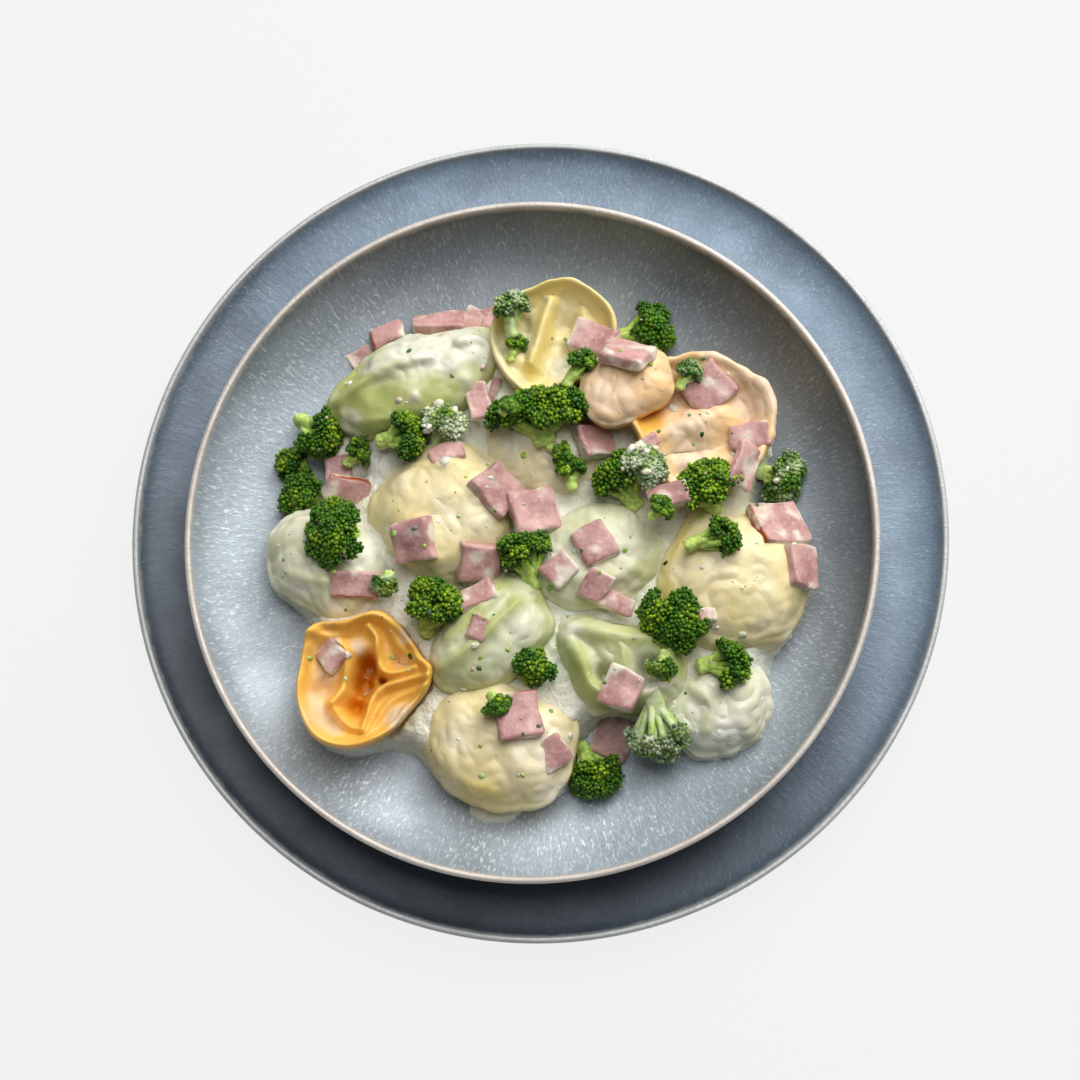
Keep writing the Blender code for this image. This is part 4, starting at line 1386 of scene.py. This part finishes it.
def scatter(name, pile, count, sizes, seed, finish, colours=None, sink=0.3):
    """Bits strewn over the pile and joined into one piece, with the smallest and largest size in mm."""
    random = np.random.default_rng(seed)
    bundle = Bundle()
    while len(bundle.points) < count:
        reach = 84 * MM * math.sqrt(random.uniform(0, 1))
        turn = random.uniform(0, TAU)
        x, y = PLATE_MIDDLE[0] + reach * math.cos(turn), PLATE_MIDDLE[1] + reach * math.sin(turn)
        height, normal = pile.surface(x, y)
        if height < PLATE_TOP + 6 * MM or normal.z < 0.45:
            continue
        size = sizes[0] + (sizes[1] - sizes[0]) * random.uniform(0, 1) ** 3
        shape = size * MM * random.uniform(0.6, 1.2, 3)
        centre = np.array([x, y, height]) - np.array(normal) * sink * size * MM
        colour = colours[random.integers(len(colours))] if colours else (1, 1, 1)
        bundle.blobs([centre], [shape], colour, random)
    points = np.vstack(bundle.points)
    looks = {"paint": np.vstack(bundle.colours)}
    looks["film"] = np.full(len(points), 0.5)
    looks["rind"] = np.zeros(len(points))
    return new_piece(name, points, bundle.faces, finish, (), looks)


# ---------------------------------------------------------------- stage


def area_light(name, place, target, size, power, colour):
    data = bpy.data.lights.new(name, "AREA")
    data.shape = "RECTANGLE"
    data.size, data.size_y = size
    data.energy = power
    data.color = colour
    light = bpy.data.objects.new(name, data)
    light.location = place
    light.rotation_euler = (Vector(target) - Vector(place)).to_track_quat("-Z", "Y").to_euler()
    bpy.context.scene.collection.objects.link(light)


def set_stage():
    mesh = bpy.data.meshes.new("floor")
    signs = ((-1, -1), (1, -1), (1, 1), (-1, 1))
    corners = [(a * FLOOR_REACH, b * FLOOR_REACH, 0) for a, b in signs]
    mesh.from_pydata(corners, [], [(0, 1, 2, 3)])
    glow = (*srgb(244, 244, 244), 1)
    paint = Paint("floor", Roughness=0.9, Emission_Color=glow, Emission_Strength=FLOOR_GLOW)
    paint.set("Base Color", paint.mix(paint.noise(400, 2), srgb(60, 60, 60), srgb(56, 56, 56)))
    mesh.materials.append(paint.material)
    floor = bpy.data.objects.new("floor", mesh)
    bpy.context.scene.collection.objects.link(floor)
    for name, light in LIGHTS.items():
        area_light(name, *light)
    world = bpy.data.worlds.new("soft")
    world.use_nodes = True
    background = world.node_tree.nodes["Background"]
    background.inputs["Color"].default_value = WORLD_COLOUR
    background.inputs["Strength"].default_value = WORLD_STRENGTH
    bpy.context.scene.world = world
    bpy.context.scene.view_settings.view_transform = "Standard"


def set_camera():
    back = Vector((
        math.sin(VIEW_TURN) * math.sin(VIEW_TILT),
        -math.cos(VIEW_TURN) * math.sin(VIEW_TILT),
        math.cos(VIEW_TILT),
    ))
    data = bpy.data.cameras.new("camera")
    data.sensor_width = SENSOR_WIDTH
    data.lens = SENSOR_WIDTH * VIEW_DISTANCE / VIEW_WIDTH
    data.clip_start = 0.01
    camera = bpy.data.objects.new("camera", data)
    bpy.context.scene.collection.objects.link(camera)
    right = (-back).cross(Vector((0, 1, 0))).normalized()
    up = back.cross(right)
    turned = Matrix((right, up, back)).transposed().to_4x4()
    camera.matrix_world = Matrix.Translation(VIEW_TARGET + back * VIEW_DISTANCE) @ turned
    bpy.context.scene.camera = camera


# ---------------------------------------------------------------- the whole


def main():
    set_camera()
    set_stage()
    plates = {node: plate_piece(node, spec) for node, spec in PLATES.items()}
    doughs = {dough: pasta_paint(dough) for dough in DOUGHS}
    pasta = {}
    for number, (name, spec) in enumerate(PASTA.items()):
        pasta[name] = pasta_piece(name, spec, PASTA_SEED + 20 * number, doughs)
    cream = sauce_paint()
    sauce = sauce_piece(pasta, plates["plate"], cream)
    pile = Pile([plates["plate"], sauce, *pasta.values()])
    scatter("sauce_curds", pile, 90, (0.6, 2.3), 41, cream, sink=0.45)
    green = broccoli_paint()
    pink = ham_paint()
    toppings = sorted(names_of("ham_", "broccoli_"), key=lambda name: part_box(name)[0].z)
    for number, name in enumerate(toppings):
        if name in FLORETS:
            broccoli_piece(name, FLORETS[name], FLORET_SEED + number, green, pile)
        else:
            seed = HAM_SEED + 10 * number
            rind = RINDS.get(name)
            ham_piece(name + "_visual", *dice_frame(name), seed, pink, pile, rind, nodes=(name,))
    more_ham(pile, pink)
    more_broccoli(pile, green)
    sauce_over(pile, cream)
    greens = (BUD_MIDDLE, BUD_LIGHT, BUD_DARK, STEM_GREEN)
    scatter("broccoli_crumbs", pile, 170, (0.3, 1.5), 42, green, greens)
    scatter("ham_crumbs", pile, 40, (0.5, 1.4), 43, pink)


main()
